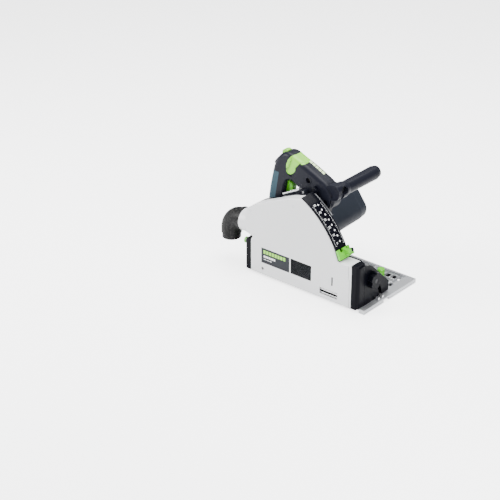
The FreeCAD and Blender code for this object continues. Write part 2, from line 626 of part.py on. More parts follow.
sp = (spindle_x, shift_y + d.blade_y, spindle_z)
half_plate = d.blade_plate / 2
r_sp, r_fl = d.spindle_dia / 2, d.flange_dia / 2
turned("spindle", sp, "Y", [
    (half_plate, 4), (half_plate, r_fl), (half_plate + 2, r_fl), (half_plate + 4.5, r_sp + 4),
    (11.4, r_sp + 4), (11.4, r_sp), (38.4, r_sp), (38.4, 5), (46, 5), (46, 0), (24, 0), (24, 4)])
turned("outer_flange", sp, "Y", [
    (-half_plate, 4.1), (-half_plate, r_fl), (-half_plate - 2, r_fl), (-half_plate - 4, r_fl - 6),
    (-half_plate - 4, 4.1)])
turned("blade_bolt", sp, "Y", [
    (-half_plate - 4, 0), (-half_plate - 4, 7), (-half_plate - 8.5, 7), (-half_plate - 8.5, 0)])
bolt = made.pop()
bolt.Label = "blade_bolt_head"
shaft = rod(S, 3.9, BY - n.blade_plate / 2 - 5, BY + 23)
hexagon = rod(S, 3.0, BY - n.blade_plate / 2 - 9, BY - n.blade_plate / 2 - 6)
doc.recompute()
solid("blade_bolt", union(bolt.Shape.copy(), shaft).cut(hexagon))

# saw blade: body with gullets, carbide tips, arbor bore on a spigot ring
teeth, rb = int(n.blade_teeth), n.blade_dia / 2
points = []
for i in range(teeth):
    a = 360.0 * i / teeth
    step = 360.0 / teeth
    points += [polar(rb, a, S), polar(rb - 1.6, a + 0.42 * step, S), polar(rb - 5.6, a + 0.62 * step, S),
               polar(rb - 6.6, a + 0.82 * step, S), polar(rb - 4.2, a + 0.97 * step, S)]
blade = prism(points, BY - n.blade_plate / 2, BY + n.blade_plate / 2)
blade = blade.cut(rod(S, n.blade_bore / 2, 0, 30))
for i in range(4):
    c1 = polar(rb - 14, 45 + 90 * i, S)
    blade = blade.cut(rod(c1, 1.6, 0, 30))
    blade = blade.cut(prism(slot_path(rb - 24, 0.5, 52 + 90 * i, 84 + 90 * i, S), 0, 30))
ring = tube(S, n.blade_bore / 2, 3.9 + 0.1, BY - n.blade_plate / 2, BY + n.blade_plate / 2)
tip_path = [(rb - 3.6, -0.2), (rb - 0.05, -0.3), (rb - 0.5, 1.4), (rb - 3.6, 1.4)]
tips = []
for i in range(teeth):
    a = 360.0 * i / teeth
    tips.append(prism([polar(r, a + da, S) for r, da in tip_path], BY - n.blade_kerf / 2, BY + n.blade_kerf / 2))
blade = blade.fuse(tips).removeSplitter()
solid("saw_blade", blade)
solid("blade_spigot", ring)
assert made.pop().Label == "blade_spigot"

# ============================================================ gear case and motor
NECK = n.neck_dia / 2
gear_tip = pitch_1 + 0.8 * n.gear_module
DRUM, CASE1, CASE2 = gear_tip + 2.9, 34.4, 54.0


def hull2(c1, r1, c2, r2):
    """Outline of two circles and their outer tangents."""
    dx, dz = c2[0] - c1[0], c2[1] - c1[1]
    dist, base = math.hypot(dx, dz), math.degrees(math.atan2(dz, dx))
    a = math.degrees(math.acos((r1 - r2) / dist))
    p = lambda c, r, ang: polar(r, base + ang, c)
    return [p(c1, r1, a), p(c1, r1, 180) + p(c1, r1, -a), p(c2, r2, -a), p(c2, r2, 0) + p(c2, r2, a)]


def motor_path(half, corner, turn=swing):
    """A rounded square about the motor axis, level once the saw is plunged."""
    k, c = half - corner, math.cos(math.radians(45)) * corner
    out = []
    for a in (0, 90, 180, 270):
        pts = [(half, -k), (half, k), (k + c, k + c), (k, half)]
        ca, sa = math.cos(math.radians(a + turn)), math.sin(math.radians(a + turn))
        q = [(M[0] + x * ca - z * sa, M[1] + x * sa + z * ca) for x, z in pts]
        out += [q[0], q[1], q[2] + q[3]]
    return out


case = union(rod(S, DRUM, CASE1, CASE2), rod(S, NECK, 26.8, CASE1 + 1), rod(S, NECK - 1.5, 22, 27),
             prism(hull2(P, n.pivot_boss / 2, S, DRUM - 3), 36, 45),
             rod(P, n.pivot_boss / 2, 34.4, 50), prism(hull2(S, DRUM - 3, M, 22), 40, CASE2))
# mast that carries the main handle and the front handle
mast = prism([(x0 + 84, 128), (x0 + 78, 160), (x0 + 92, 172), (x0 + 112, 171), (x0 + 128, 182),
              (x0 + 150, 176), (x0 + 143, 150), (x0 + 124, 118)], 44, CASE2)
case = union(case, mast, prism(hull2(S, 15, (x0 + 112, 140), 22), 38, CASE2))
# the nose lands on the depth stop's tab when the saw is fully plunged
tab_1, tab_2 = 21.2, 23.6
nose_1 = tab_2 + swing + 0.2
stop_nose = prism(ring_path(R_OUT - 14, R_OUT + 7, nose_1, nose_1 + 3.2), 36.2, 46)
case = union(case, stop_nose)
r_bolt = n.spindle_dia / 2
case = case.cut(rod(S, gear_tip + 0.8, 43.5, CASE2 + 1)).cut(rod(M, pitch_2 + 3, 43, CASE2 + 1))
case = case.cut(rod(S, 14, 27, 35)).cut(rod(S, r_bolt + 4.6, 20, 28)).cut(rod(S, r_bolt + 2, 34, 44))
case = case.cut(rod(P, n.pivot_pin / 2 + n.fit, 30, 60))
solid("gearcase", case)

# bearing plate that closes the case and starts the motor
plate = union(prism(hull2(S, DRUM, M, 24), CASE2, 57), prism(motor_path(n.motor_half, n.motor_corner), 57, n.motor_y))
plate = union(plate, rod(S, 13.5, CASE2, 63))
plate = plate.cut(rod(S, 11, CASE2 + 0.6, 61.6)).cut(rod(S, 5.6, 50, 60)).cut(rod(M, 14, 57, 65)).cut(rod(M, 8, 50, 60))
plate = plate.cut(prism(motor_path(n.motor_half - 6, n.motor_corner - 6), 62, 66).cut(rod(M, 17, 50, 70)))
solid("bearing_plate", plate)


def loft_y(half_1, corner_1, y1, half_2, corner_2, y2):
    w1 = wire(motor_path(half_1, corner_1), lambda x, z: Vector(x, y0 + y1, z))
    w2 = wire(motor_path(half_2, corner_2), lambda x, z: Vector(x, y0 + y2, z))
    return Part.makeLoft([w1, w2], True, True)


half, corner, t = n.motor_half, n.motor_corner, n.motor_wall
housing = loft_y(half + 1.0, corner, n.motor_y, half - 1.5, corner, n.cap_y)
hollow = loft_y(half + 1.0 - t, corner - t, n.motor_y - 0.01, half - 1.5 - t, corner - t, n.cap_y + 0.01)
housing = housing.cut(hollow)
seat = union(rod(M, n.stator_dia / 2 + 6, 98, 103), rod(M, n.stator_dia / 2 + 6, 126, 131))
seat = seat.cut(rod(M, n.stator_dia / 2, 90, 140)).common(loft_y(half + 1.8 - t, corner, n.motor_y, half - 0.7 - t, corner, n.cap_y))
housing = union(housing, seat)
for i in range(7):                                              # air outlets beside the guard
    for side in (0, 90, 180, 270):
        a = math.radians(side + swing)
        off = -18 + 6 * i
        cx, cz = half * math.cos(a) - off * math.sin(a), half * math.sin(a) + off * math.cos(a)
        vent = Part.makeBox(10, 9, 2.6, Vector(-5, 0, -1.3))
        vent.Placement = Placement(Vector(M[0] + cx, y0 + n.motor_y + 4, M[1] + cz),
                                   Rotation(Vector(0, 1, 0), -math.degrees(a)))
        housing = housing.cut(vent)
solid("motor_housing", housing)
cap = loft_y(half - 1.5, corner, n.cap_y, half - 4, corner, n.motor_end)
cap = rounded(cap, 6, on_plane("Y", y0 + n.motor_end))
cap = cap.cut(loft_y(half - 1.5 - t, corner - t, n.cap_y - 0.01, half - 5 - t, corner - t, n.motor_end - 4))
cap = union(cap, rod(M, 15, 172, n.motor_end - 3)).cut(rod(M, 11, 160, 181)).cut(rod(M, 6, 180, 184))
dial_at = polar(18, 110, M)
cap = cap.cut(rod(dial_at, 8.4, n.motor_end - 2, n.motor_end + 1)).cut(rod(dial_at, 2.5, 180, 190))
for i in range(6):
    slot = prism(moved([(-13, -1.1), (13, -1.1), (13, 1.1), (-13, 1.1)], M[0], M[1] - 8 - 4.2 * i), 184, 190)
    cap = cap.cut(slot) if i in (1, 2, 3, 4) else cap
solid("motor_end_cap", cap)

# stator, coils, brushes and bearings
r_st, r_rt = n.stator_dia / 2, n.rotor_dia / 2
core = tube(M, r_st, r_rt + n.air_gap, 92, 137)
core = core.cut(Part.makeCompound([rod(polar(r_st - 3.5, a, M), 2.2, 90, 140) for a in (30, 150, 210, 330)]))
solid("stator_core", core)
solid("field_coils", Part.makeCompound([tube(M, r_st - 2, r_rt + 3, 82, 92), tube(M, r_st - 2, r_rt + 3, 137, 147)]))
brush = []
for side in (-1, 1):
    m = [(M[0] + side * (12.3 + 0), M[1])]
    holder = Part.makeBox(15, 10, 9, Vector(M[0] + (13.3 if side > 0 else -28.3), y0 + 150.5, M[1] - 4.5))
    carbon = Part.makeBox(16, 7, 6, Vector(M[0] + (12.3 if side > 0 else -28.3), y0 + 152, M[1] - 3))
    brush += [union(holder.cut(carbon), carbon)]
solid("brush_gear", Part.makeCompound(brush))


def bearing(centre, bore_r, out_r, y1, y2):
    third = (out_r - bore_r) / 3
    shape = tube(centre, out_r, bore_r, y1, y2)
    for a, b in ((y1 - 1, y1 + 0.6), (y2 - 0.6, y2 + 1)):
        shape = shape.cut(tube(centre, out_r - third, bore_r + third, a, b))
    return shape


shaft_r = n.shaft_dia / 2
solid("ball_bearings", Part.makeCompound([
    bearing(S, r_bolt + n.fit, 14, 27, 35), bearing(S, 5 + n.fit, 11, 54.6, 61.2),
    bearing(M, shaft_r + n.fit, 14, 57, 65), bearing(M, shaft_r + n.fit, 11, 173.5, 180.5)]))

# ---- rotor
shaft = union(pinion, rod(M, pitch_2 - 1.15 * n.gear_module - 0.2, 52, 57), rod(M, shaft_r, 56.5, 182))
solid("rotor_shaft", shaft)
core = tube(M, r_rt, shaft_r, 92, 137)
for i in range(12):
    core = core.cut(rod(polar(r_rt - 2.6, 30 * i, M), 1.7, 90, 140)).cut(
        prism([polar(r_rt - 3, 30 * i - 1.6, M), polar(r_rt + 1, 30 * i - 1.4, M), polar(r_rt + 1, 30 * i + 1.4, M),
               polar(r_rt - 3, 30 * i + 1.6, M)], 90, 140))
solid("rotor_core", core)
solid("rotor_windings", Part.makeCompound([tube(M, r_rt - 3, shaft_r, 83, 92), tube(M, r_rt - 3, shaft_r, 137, 146)]))
solid("commutator", tube(M, 12, shaft_r, 148, 164))
fan = union(tube(M, 9, shaft_r, 68.5, 80), tube(M, 28, 8, 78.5, 80))
for i in range(12):
    a = math.radians(30 * i)
    blade_box = Part.makeBox(19, 9, 1.4, Vector(8.5, 70, -0.7))
    blade_box.Placement = Placement(Vector(M[0], y0, M[1]), Rotation(Vector(0, 1, 0), 30 * i))
    fan = fan.fuse(blade_box)
solid("cooling_fan", fan.removeSplitter())
turned("speed_dial", (motor_x + 18 * cosd(Size(110, "110")), shift_y + d.motor_end - 2, motor_z + 18 * sind(Size(110, "110"))),
       "Y", [(-5, 0), (-5, 2.4), (0, 2.4), (0, 8), (3.2, 8), (4, 7.2), (4, 0)])

# ============================================================ main handle
HY, HW = n.handle_y, n.handle_width / 2


def smooth(points, y):
    """A closed smooth outline through datum points, in a plane of constant y."""
    curve = Part.BSplineCurve()
    curve.interpolate([Vector(x0 + x, y0 + y, z) for x, z in points], PeriodicFlag=True)
    return Part.Wire(curve.toShape())


OUTER = [(1, 127), (3, 145), (6.5, 168), (11, 190), (14.5, 205), (19, 217), (27, 229), (36, 236), (48, 239), (64, 233.5),
         (88, 224), (115, 212), (137, 200), (150, 184), (150, 165), (137, 151), (116, 148), (104, 151),
         (90, 150), (74, 142), (56, 129), (40, 117), (24, 110), (9, 113)]
LOOP = [(37, 150), (40.5, 170), (47, 185), (57, 188), (68, 182), (80, 176.5), (89, 171), (87, 163.5),
        (77, 157), (66, 149), (54, 141), (42, 140)]
outer_wire, loop_wire = smooth(OUTER, HY - HW), smooth(LOOP, HY - HW)
handle = Part.Face(outer_wire).extrude(Vector(0, 2 * HW, 0))
side = lambda e: e.Length > 50 and (on_plane("Y", y0 + HY - HW)(e) or on_plane("Y", y0 + HY + HW)(e))
handle = rounded(handle, n.handle_round, side)
loop = Part.Face(loop_wire).extrude(Vector(0, 2 * HW, 0))
inside = rounded(handle.cut(loop), 4, lambda e: side(e) and e.BoundBox.XMin > x0 + 20 and e.Length < 260)
hollow = Part.Face(smooth([(8.5, 131), (11, 165), (16, 188), (24.5, 213), (35, 226), (50, 229), (80, 217), (112, 203),
                           (130, 192), (136, 180), (126, 176), (106, 180), (84, 186), (62, 195), (44, 196),
                           (34, 182), (29, 160), (26, 140), (21, 127), (13, 124)], HY - HW + n.handle_wall))
hollow = hollow.extrude(Vector(0, 2 * (HW - n.handle_wall), 0))
hollow = hollow.cut(rod((x0 + 97, 200), 7.5, 40, HY - HW + 9))        # boss for the near screw
body_h = inside
# the gear case's mast fills the front of the handle, the motor and its bearing plate pass below it
for tool in (case, plate, loft_y(half + 2, corner + 1, n.motor_y - 0.5, half + 2, corner + 1, 90)):
    body_h = body_h.cut(tool)
lever_at = (x0 + 93, 178.5)
body_h = body_h.cut(rod(lever_at, 2.5, 40, 47))
# grip pad: the soft back of the grip; inlay: the coloured saddle on the shoulder
pad_zone = prism([(x0 - 20, 128), (x0 + 18.5, 128), (x0 + 23, 160), (x0 + 29, 197), (x0 + 8, 199), (x0 - 20, 199)],
                 0, 120)
inlay_zone = prism([(x0 + 50, 212), (x0 + 47, 203, x0 + 54, 197), (x0 + 62, 198, x0 + 65, 206),
                    (x0 + 70, 218, x0 + 90, 226), (x0 + 92, 250), (x0 + 62, 250), (x0 + 56, 226)], 0, 120)
pad = body_h.common(pad_zone).cut(hollow)
inlay = body_h.common(inlay_zone)
core_zone = Part.Face(smooth([(a + (2.2 if a < 20 else 0), b - 2.2) if b > 190 else (a, b) for a, b in OUTER],
                             HY - HW + 2.2)).extrude(Vector(0, 2 * HW - 4.4, 0))
inlay = inlay.cut(core_zone)
shells = body_h.cut(pad_zone).cut(inlay).cut(hollow)
# collar with the mains inlet on the sloping top corner
normal = Vector(-32, 0, 20).normalize()
collar_at = Vector(x0 + 23.3, y0 + HY, 211.4)
shells = shells.cut(Part.makeCylinder(9.7, 22, collar_at - normal * 8, normal))
inlet = Part.makeCylinder(9.6, 12, collar_at - normal * 7, normal)
inlet = inlet.fuse(Part.makeCylinder(11.2, 4.4, collar_at + normal * 3.6, normal)).cut(
    Part.makeCylinder(7.2, 14, collar_at - normal * 4, normal))
across = Vector(0, 1, 0)
for s in (-1, 1):
    inlet = inlet.fuse(Part.makeCylinder(1.2, 9, collar_at - normal * 4.5 + across * (3.6 * s), normal))
inlet = inlet.cut(shells)
solid("mains_inlet", inlet.removeSplitter())
# trigger slot, lock-off slot and screw recesses
shells = shells.cut(box(20, 52, HY - 6.4, HY + 6.4, 150, 187))
lock_seat = box(27.5, 41, HY - 6, HY + 6, 220, 245)
shells = shells.cut(lock_seat)
recesses = [(97, 200), (18, 122), (136, 168)]
for c in recesses:
    shells = shells.cut(rod((x0 + c[0], c[1]), 5.2, HY - HW - 1, HY - HW + 6))
keep = lambda shape: max(shape.Solids, key=lambda s: s.Volume)
solid("handle_shell_near", keep(shells.common(box(-60, 220, HY - HW - 2, HY, 90, 260))))
solid("handle_shell_far", keep(shells.common(box(-60, 220, HY, HY + HW + 2, 90, 260))))
solid("grip_pad", keep(pad))
solid("handle_inlay", keep(inlay))
solid("switch_module", box(14.2, 21.4, HY - 9, HY + 9, 146, 176))
solid("electronics_module", box(64, 87, HY - 10, HY + 10, 197, 208))

trigger = prism([(x0 + 31, 184), (x0 + 42, 184.5), (x0 + 50, 178), (x0 + 54, 169, x0 + 51, 160), (x0 + 42, 154),
                 (x0 + 36, 153.4), (x0 + 27, 155), (x0 + 28, 170)], HY - 6, HY + 6)
solid("trigger", trigger)
lock = prism([(x0 + 28, 226), (x0 + 40.6, 226), (x0 + 40.6, 239.5), (x0 + 37, 241), (x0 + 30, 238.5), (x0 + 28, 236.5)],
             HY - 5.6, HY + 5.6)
solid("lock_off_button", lock)

# ============================================================ front handle
bar = (x0 + n.bar_x, n.bar_z)
bar_r = n.bar_dia / 2
start_y = 56.0
root = prism([(x0 + 146, 176.8), (x0 + 151, 176.3), (x0 + 160, 179), (x0 + 165.4, 185, x0 + 166, 192),
              (x0 + 163, 203, x0 + 154, 206.6), (x0 + 144, 205.5), (x0 + 139, 200.5), (x0 + 151.6, 184.6)],
             44, start_y + 6)
turned("front_handle_grip", (shift_x + d.bar_x, shift_y + start_y, d.bar_z), "Y", [
    (0, 0), (0, d.bar_dia / 2 + 1.5), (12, d.bar_dia / 2 + 1.5), (22, d.bar_dia / 2 - 0.6),
    (d.bar_end - start_y - 14, d.bar_dia / 2), (d.bar_end - start_y - 5, d.bar_dia / 2 - 2),
    (d.bar_end - start_y - 1.5, d.bar_dia / 2 - 5.5), (d.bar_end - start_y, d.bar_dia / 2 - 9),
    (d.bar_end - start_y, 0)])
made.pop()
doc.recompute()
bar_shape = union(doc.getObject("front_handle_grip_body").Shape.copy(), root)
recess_at = Vector(bar[0] + 4, y0 + start_y + 4, bar[1] + 4.5)
bar_shape = bar_shape.cut(Part.makeCylinder(7, 20, recess_at, Vector(1, 0, 0)))
bar_shape = bar_shape.cut(shells.common(box(100, 220, 40, 80, 90, 260)))
solid("front_handle", keep(bar_shape.cut(case)))
solid("handle_screws", Part.makeCompound(
    [Part.makeCylinder(5, 3, recess_at, Vector(1, 0, 0))] +
    [rod((x0 + c[0], c[1]), 4, HY - HW + 4.5, HY - HW + 6) for c in recesses[:1]]))

# ============================================================ blade-change lever
L1, L2 = 34.2, 43.2
lever = prism([(x0 + 97, 174.5), (x0 + 98, 180, x0 + 93, 183.2), (x0 + 86, 181.5), (x0 + 48, 161.5), (x0 + 45, 157),
               (x0 + 50, 155.5), (x0 + 86, 174), (x0 + 92, 173)], L1, L2)
lever = lever.cut(rod(lever_at, 2.5 + n.fit, 30, 50))
lever_plate = prism([(x0 + 84, 180.6), (x0 + 82.6, 183.2), (x0 + 45.5, 163.6), (x0 + 46.9, 161.0)], L1 - 0.4, L2 - 0.2)
lever = lever.cut(lever_plate)
solid("changeover_lever", lever)
solid("lever_plate", lever_plate)
solid("lever_pin", rod(lever_at, 2.5, 34, 47))

# ============================================================ riving knife
knife_1 = slot_path(n.blade_dia / 2 + n.blade_gap + 6, 6, 196, 228, S)
knife = prism(knife_1, BY - 0.9, BY + 0.9)
hinge_1, hinge_2 = 22.6, 25.6
arm_k = prism(hull2(S, 19, polar(n.blade_dia / 2 + 9, 203, S), 6), hinge_1, hinge_2)
spacer = rod(polar(n.blade_dia / 2 + 9, 203, S), 5.5, BY - 0.9, hinge_2)
knife = union(knife, arm_k, spacer).cut(rod(S, NECK - 1.5 + n.fit, 20, 30))
solid("riving_knife", knife)

# ============================================================ depth stop, buttons and rail adjusters
stop = prism(ring_path(R_OUT + 1.0, R_OUT + 5, tab_1, tab_1 + 5.6), 0.6, 34.5)
fin = prism([polar(R_OUT + 3, 22.4), polar(R_OUT + 16, 23.4), polar(R_OUT + 17, 25.2), polar(R_OUT + 3, 26)], 17, 24)
tab = prism(ring_path(R_OUT - 12, R_OUT + 5, tab_1, tab_2), 36, 42)
bridge = prism(ring_path(R_OUT + 1.0, R_OUT + 5, tab_1, tab_2), 34, 37)
window = prism(ring_path(R_OUT - 1, R_OUT + 8, tab_2 + 1.4, 30), 8, 28)
solid("depth_stop", union(stop, fin, tab, bridge).cut(window.cut(prism(ring_path(
    R_OUT - 2, R_OUT + 9, 20, 31), 16, 25))))
undercut = (shift_x + d.rear_sector_x - 0.4, shift_y + 12, 56)
turned("undercut_button", undercut, "X", [(-8, 0), (-8, 5), (-7, 6), (-3.3, 6), (-3.3, 2), (4, 2), (4, 0)])
rear = made[[o.Label for o in made].index("rear_sector")]
rear.Shape = rear.Shape.cut(Part.makeCylinder(2 + n.fit, 9.6, Vector(float(undercut[0]) - 1, float(undercut[1]), 56), Vector(1, 0, 0)))

for name, (ax, ay) in zip(("front_rail_adjuster", "rear_rail_adjuster"), adjusters):
    turned(name, (ax, ay, d.skin), "Z", [
        (-1.6, 0), (-1.6, 3), (0.3, 3), (0.3, 7), (14.5, 7), (16, 6), (16, 0)])

# ============================================================ check and write
doc.recompute()
for obj in doc.Objects:
    bad = [state for state in obj.State if state in ("Invalid", "Error")]
    assert not bad, f"{obj.Label}: {bad}"
os.makedirs("parts", exist_ok=True)
for obj in made:
    shape = obj.Shape
    assert not shape.isNull() and shape.isValid(), f"{obj.Label}: bad shape"
    assert shape.Solids, f"{obj.Label}: no solid"
    shape.exportStep(f"parts/{obj.Label}.step")
print(len(made), "sub-parts written")
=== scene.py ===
# %% [markdown]
# # Track plunge saw: the looks
# The saw's sizes and joints are already settled in its CAD model. This lesson loads that model as a
# fixed frame, gives every piece its finish, and adds the small things that CAD leaves plain.

# %% Load the frame
import math

import bpy
from mathutils import Matrix, Vector


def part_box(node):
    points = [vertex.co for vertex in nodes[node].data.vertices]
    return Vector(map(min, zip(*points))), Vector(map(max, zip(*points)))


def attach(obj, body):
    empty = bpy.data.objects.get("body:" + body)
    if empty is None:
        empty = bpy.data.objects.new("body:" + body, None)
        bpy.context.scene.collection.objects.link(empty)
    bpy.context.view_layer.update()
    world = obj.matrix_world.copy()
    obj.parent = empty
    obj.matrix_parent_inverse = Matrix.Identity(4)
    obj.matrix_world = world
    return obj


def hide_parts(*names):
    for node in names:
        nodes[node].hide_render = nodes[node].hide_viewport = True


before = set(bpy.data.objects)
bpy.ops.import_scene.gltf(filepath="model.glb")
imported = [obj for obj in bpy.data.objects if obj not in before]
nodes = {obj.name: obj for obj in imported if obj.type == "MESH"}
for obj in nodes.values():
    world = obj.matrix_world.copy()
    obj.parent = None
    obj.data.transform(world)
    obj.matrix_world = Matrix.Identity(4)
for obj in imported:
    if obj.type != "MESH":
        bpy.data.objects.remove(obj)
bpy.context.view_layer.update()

# %% [markdown]
# ## The datum
# Distances on the saw are easiest to read from three faces: the rear edge of the cover's foot, the
# cover's outer face and the sole. The base plate and the cover give those faces, so a place written
# as `at(x, y, z)` in millimetres always lands on the model.

# %% Datum and small helpers
REAR_OVERHANG = 11.5   # how far the base plate reaches behind the cover's foot, mm
base_low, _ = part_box("base_plate")
cover_low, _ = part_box("side_cover")
DATUM = Vector((base_low.x + REAR_OVERHANG / 1000, cover_low.y, 0.0))


def at(x, y, z):
    """A datum place in millimetres, as a point in metres."""
    return DATUM + Vector((x, y, z)) / 1000


def deselect_all():
    """Leaves edit mode and clears the selection, so an operator acts on nothing by chance."""
    if bpy.context.object and bpy.context.object.mode != "OBJECT":
        bpy.ops.object.mode_set(mode="OBJECT")
    bpy.ops.object.select_all(action="DESELECT")


def settle(piece):
    """Puts a finished piece's place into its mesh, as a CAD node's is."""
    deselect_all()
    piece.select_set(True)
    bpy.context.view_layer.objects.active = piece
    bpy.ops.object.transform_apply(location=True, rotation=True, scale=True)
    return piece


def apply_modifiers(piece):
    """Applies every modifier of a piece in order."""
    deselect_all()
    piece.select_set(True)
    bpy.context.view_layer.objects.active = piece
    for modifier in list(piece.modifiers):
        bpy.ops.object.modifier_apply(modifier=modifier.name)


def dress(piece, name, body, material, angle=40):
    """Names a piece, smooths it, and hangs it on its body."""
    piece.name = name
    settle(piece)
    bpy.ops.object.shade_smooth_by_angle(angle=math.radians(angle))
    piece.data.materials.clear()
    piece.data.materials.append(material)
    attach(piece, body)
    return piece


def join(parts):
    """Joins pieces into the first one."""
    deselect_all()
    for part in parts:
        part.select_set(True)
    bpy.context.view_layer.objects.active = parts[0]
    bpy.ops.object.join()
    return parts[0]


def loose_copy(node):
    """A copy of a CAD node that is free to change; the node itself stays as it is."""
    piece = nodes[node].copy()
    piece.data = nodes[node].data.copy()
    for key in list(piece.keys()):
        del piece[key]
    piece.parent = None
    bpy.context.scene.collection.objects.link(piece)
    return piece


print("datum, mm:", [round(v * 1000, 2) for v in DATUM])

# %% [markdown]
# ## Camera
# The saw is seen from its blade side, a little from the front and above, through a long lens so that
# its edges stay nearly parallel. The camera aims at the cover's rear foot.

# %% Camera
AZIMUTH, ELEVATION, DISTANCE = 40.213, 28.025, 2.8033
az, el = math.radians(AZIMUTH), math.radians(ELEVATION)
back = Vector((math.sin(az) * math.cos(el), -math.cos(az) * math.cos(el), math.sin(el)))
camera_data = bpy.data.cameras.new("camera")
camera_data.lens, camera_data.sensor_width = 108.05, 36
camera_data.shift_x, camera_data.shift_y = -0.0022, 0.0435
camera_data.clip_start, camera_data.clip_end = 0.05, 30
camera = bpy.data.objects.new("camera", camera_data)
bpy.context.scene.collection.objects.link(camera)
camera.location = at(0, 0, 0) + back * DISTANCE
camera.rotation_euler = (-back).to_track_quat("-Z", "Y").to_euler()
bpy.context.scene.camera = camera
print("camera at", [round(v, 3) for v in camera.location])

# %% [markdown]
# ## Floor and light
# A pale floor and three large soft lamps stand in for a product studio. The big lamp overhead gives
# the handle its long highlights, the left one lights the cover, and the right one keeps the front
# bracket from going black. A white sweep in a studio is lit on its own, so the floor glows a little
# for the camera, without adding light to the saw.

# %% Floor, lamps and surround
deselect_all()
bpy.ops.mesh.primitive_plane_add(size=8, location=(0, 0, -0.0004))
floor = bpy.context.object
floor.name = "studio_floor"
floor_finish = bpy.data.materials.new("studio_floor")
floor_finish.use_nodes = True
floor_shader = floor_finish.node_tree.nodes["Principled BSDF"]
floor_shader.inputs["Base Color"].default_value = (0.93, 0.93, 0.935, 1)
floor_shader.inputs["Roughness"].default_value = 0.6
floor_shader.inputs["Emission Color"].default_value = (1, 1, 1, 1)
FLOOR_GLOW = 2.6
lit_for_camera = floor_finish.node_tree.nodes.new("ShaderNodeLightPath")
glow = floor_finish.node_tree.nodes.new("ShaderNodeMath")
glow.operation, glow.inputs[1].default_value = "MULTIPLY", FLOOR_GLOW
floor_finish.node_tree.links.new(lit_for_camera.outputs["Is Camera Ray"], glow.inputs[0])
floor_finish.node_tree.links.new(glow.outputs["Value"], floor_shader.inputs["Emission Strength"])
floor.data.materials.append(floor_finish)

LAMPS = [  # name, place, aim, size, power
    ("overhead", (-0.1, 0.25, 1.5), (0, 0, 0.1), 1.5, 62),
    ("left", (-1.3, -1.2, 0.9), (0, 0, 0.1), 1.0, 50),
    ("right", (1.3, -0.7, 0.8), (0.05, 0, 0.1), 0.8, 26),
]
for name, place, aim, size, power in LAMPS:
    lamp = bpy.data.objects.new(name, bpy.data.lights.new(name, "AREA"))
    lamp.data.size, lamp.data.energy = size, power
    lamp.location = place
    lamp.rotation_euler = (Vector(aim) - Vector(place)).to_track_quat("-Z", "Y").to_euler()
    bpy.context.scene.collection.objects.link(lamp)
world = bpy.data.worlds.new("studio")
world.use_nodes = True
world.node_tree.nodes["Background"].inputs["Color"].default_value = (0.93, 0.95, 1.0, 1)
world.node_tree.nodes["Background"].inputs["Strength"].default_value = 0.42
bpy.context.scene.world = world
print(len(LAMPS), "lamps")

# %% [markdown]
# ## Shared finishes
# Three effects appear on nearly every piece of a power tool: a fine grain from the mould or the
# casting, slight wear that lightens the edges, and faint handling marks. Each is built once as a node
# group and placed in every material with its own values.

# %% Node group helper
def new_group(name, inputs, outputs):
    """A shader group with named sockets."""
    group = bpy.data.node_groups.new(name, "ShaderNodeTree")
    for socket, kind, value in inputs:
        s = group.interface.new_socket(name=socket, in_out="INPUT", socket_type=kind)
        s.default_value = value
    for socket, kind in outputs:
        group.interface.new_socket(name=socket, in_out="OUTPUT", socket_type=kind)
    return group, group.nodes.new("NodeGroupInput"), group.nodes.new("NodeGroupOutput")


def link(tree, a, out, b, into):
    """Links a named output to a named input."""
    tree.links.new(a.outputs[out], b.inputs[into])


FLOAT = "NodeSocketFloat"

# %% Moulded grain: height and a soft change of tone
grain, g_in, g_out = new_group("moulded_grain", [("Scale", FLOAT, 900.0), ("Softness", FLOAT, 0.5)],
                               [("Height", FLOAT), ("Tone", FLOAT)])
where = grain.nodes.new("ShaderNodeTexCoord")
fine = grain.nodes.new("ShaderNodeTexNoise")
fine.inputs["Detail"].default_value = 3
cells = grain.nodes.new("ShaderNodeTexVoronoi")
blend = grain.nodes.new("ShaderNodeMix")
broad = grain.nodes.new("ShaderNodeTexNoise")
broad.inputs["Scale"].default_value = 18
broad.inputs["Detail"].default_value = 4
for noise in (fine, cells, broad):
    link(grain, where, "Object", noise, "Vector")
link(grain, g_in, "Scale", fine, "Scale")
link(grain, g_in, "Scale", cells, "Scale")
link(grain, g_in, "Softness", blend, "Factor")
link(grain, cells, "Distance", blend, "A")
link(grain, fine, "Fac", blend, "B")
link(grain, blend, "Result", g_out, "Height")
link(grain, broad, "Fac", g_out, "Tone")

# %% Edge wear: a mask that is bright where two faces meet
wear, w_in, w_out = new_group("edge_wear", [("Reach", FLOAT, 0.0008), ("Breakup", FLOAT, 0.5)],
                              [("Mask", FLOAT)])
round_edge = wear.nodes.new("ShaderNodeBevel")
round_edge.samples = 6
surface = wear.nodes.new("ShaderNodeNewGeometry")
agreement = wear.nodes.new("ShaderNodeVectorMath")
agreement.operation = "DOT_PRODUCT"
spread = wear.nodes.new("ShaderNodeMapRange")
spread.inputs["From Min"].default_value = 1.0
spread.inputs["From Max"].default_value = 0.82
patches = wear.nodes.new("ShaderNodeTexNoise")
patches.inputs["Scale"].default_value = 160
patch_where = wear.nodes.new("ShaderNodeTexCoord")
lift = wear.nodes.new("ShaderNodeMapRange")
lift.inputs["From Min"].default_value = 0.35
lift.inputs["From Max"].default_value = 0.65
soften = wear.nodes.new("ShaderNodeMix")
soften.inputs["A"].default_value = 1.0
worn = wear.nodes.new("ShaderNodeMath")
worn.operation = "MULTIPLY"
link(wear, w_in, "Reach", round_edge, "Radius")
wear.links.new(round_edge.outputs["Normal"], agreement.inputs[0])
wear.links.new(surface.outputs["Normal"], agreement.inputs[1])
link(wear, agreement, "Value", spread, "Value")
link(wear, patch_where, "Object", patches, "Vector")
link(wear, patches, "Fac", lift, "Value")
link(wear, w_in, "Breakup", soften, "Factor")
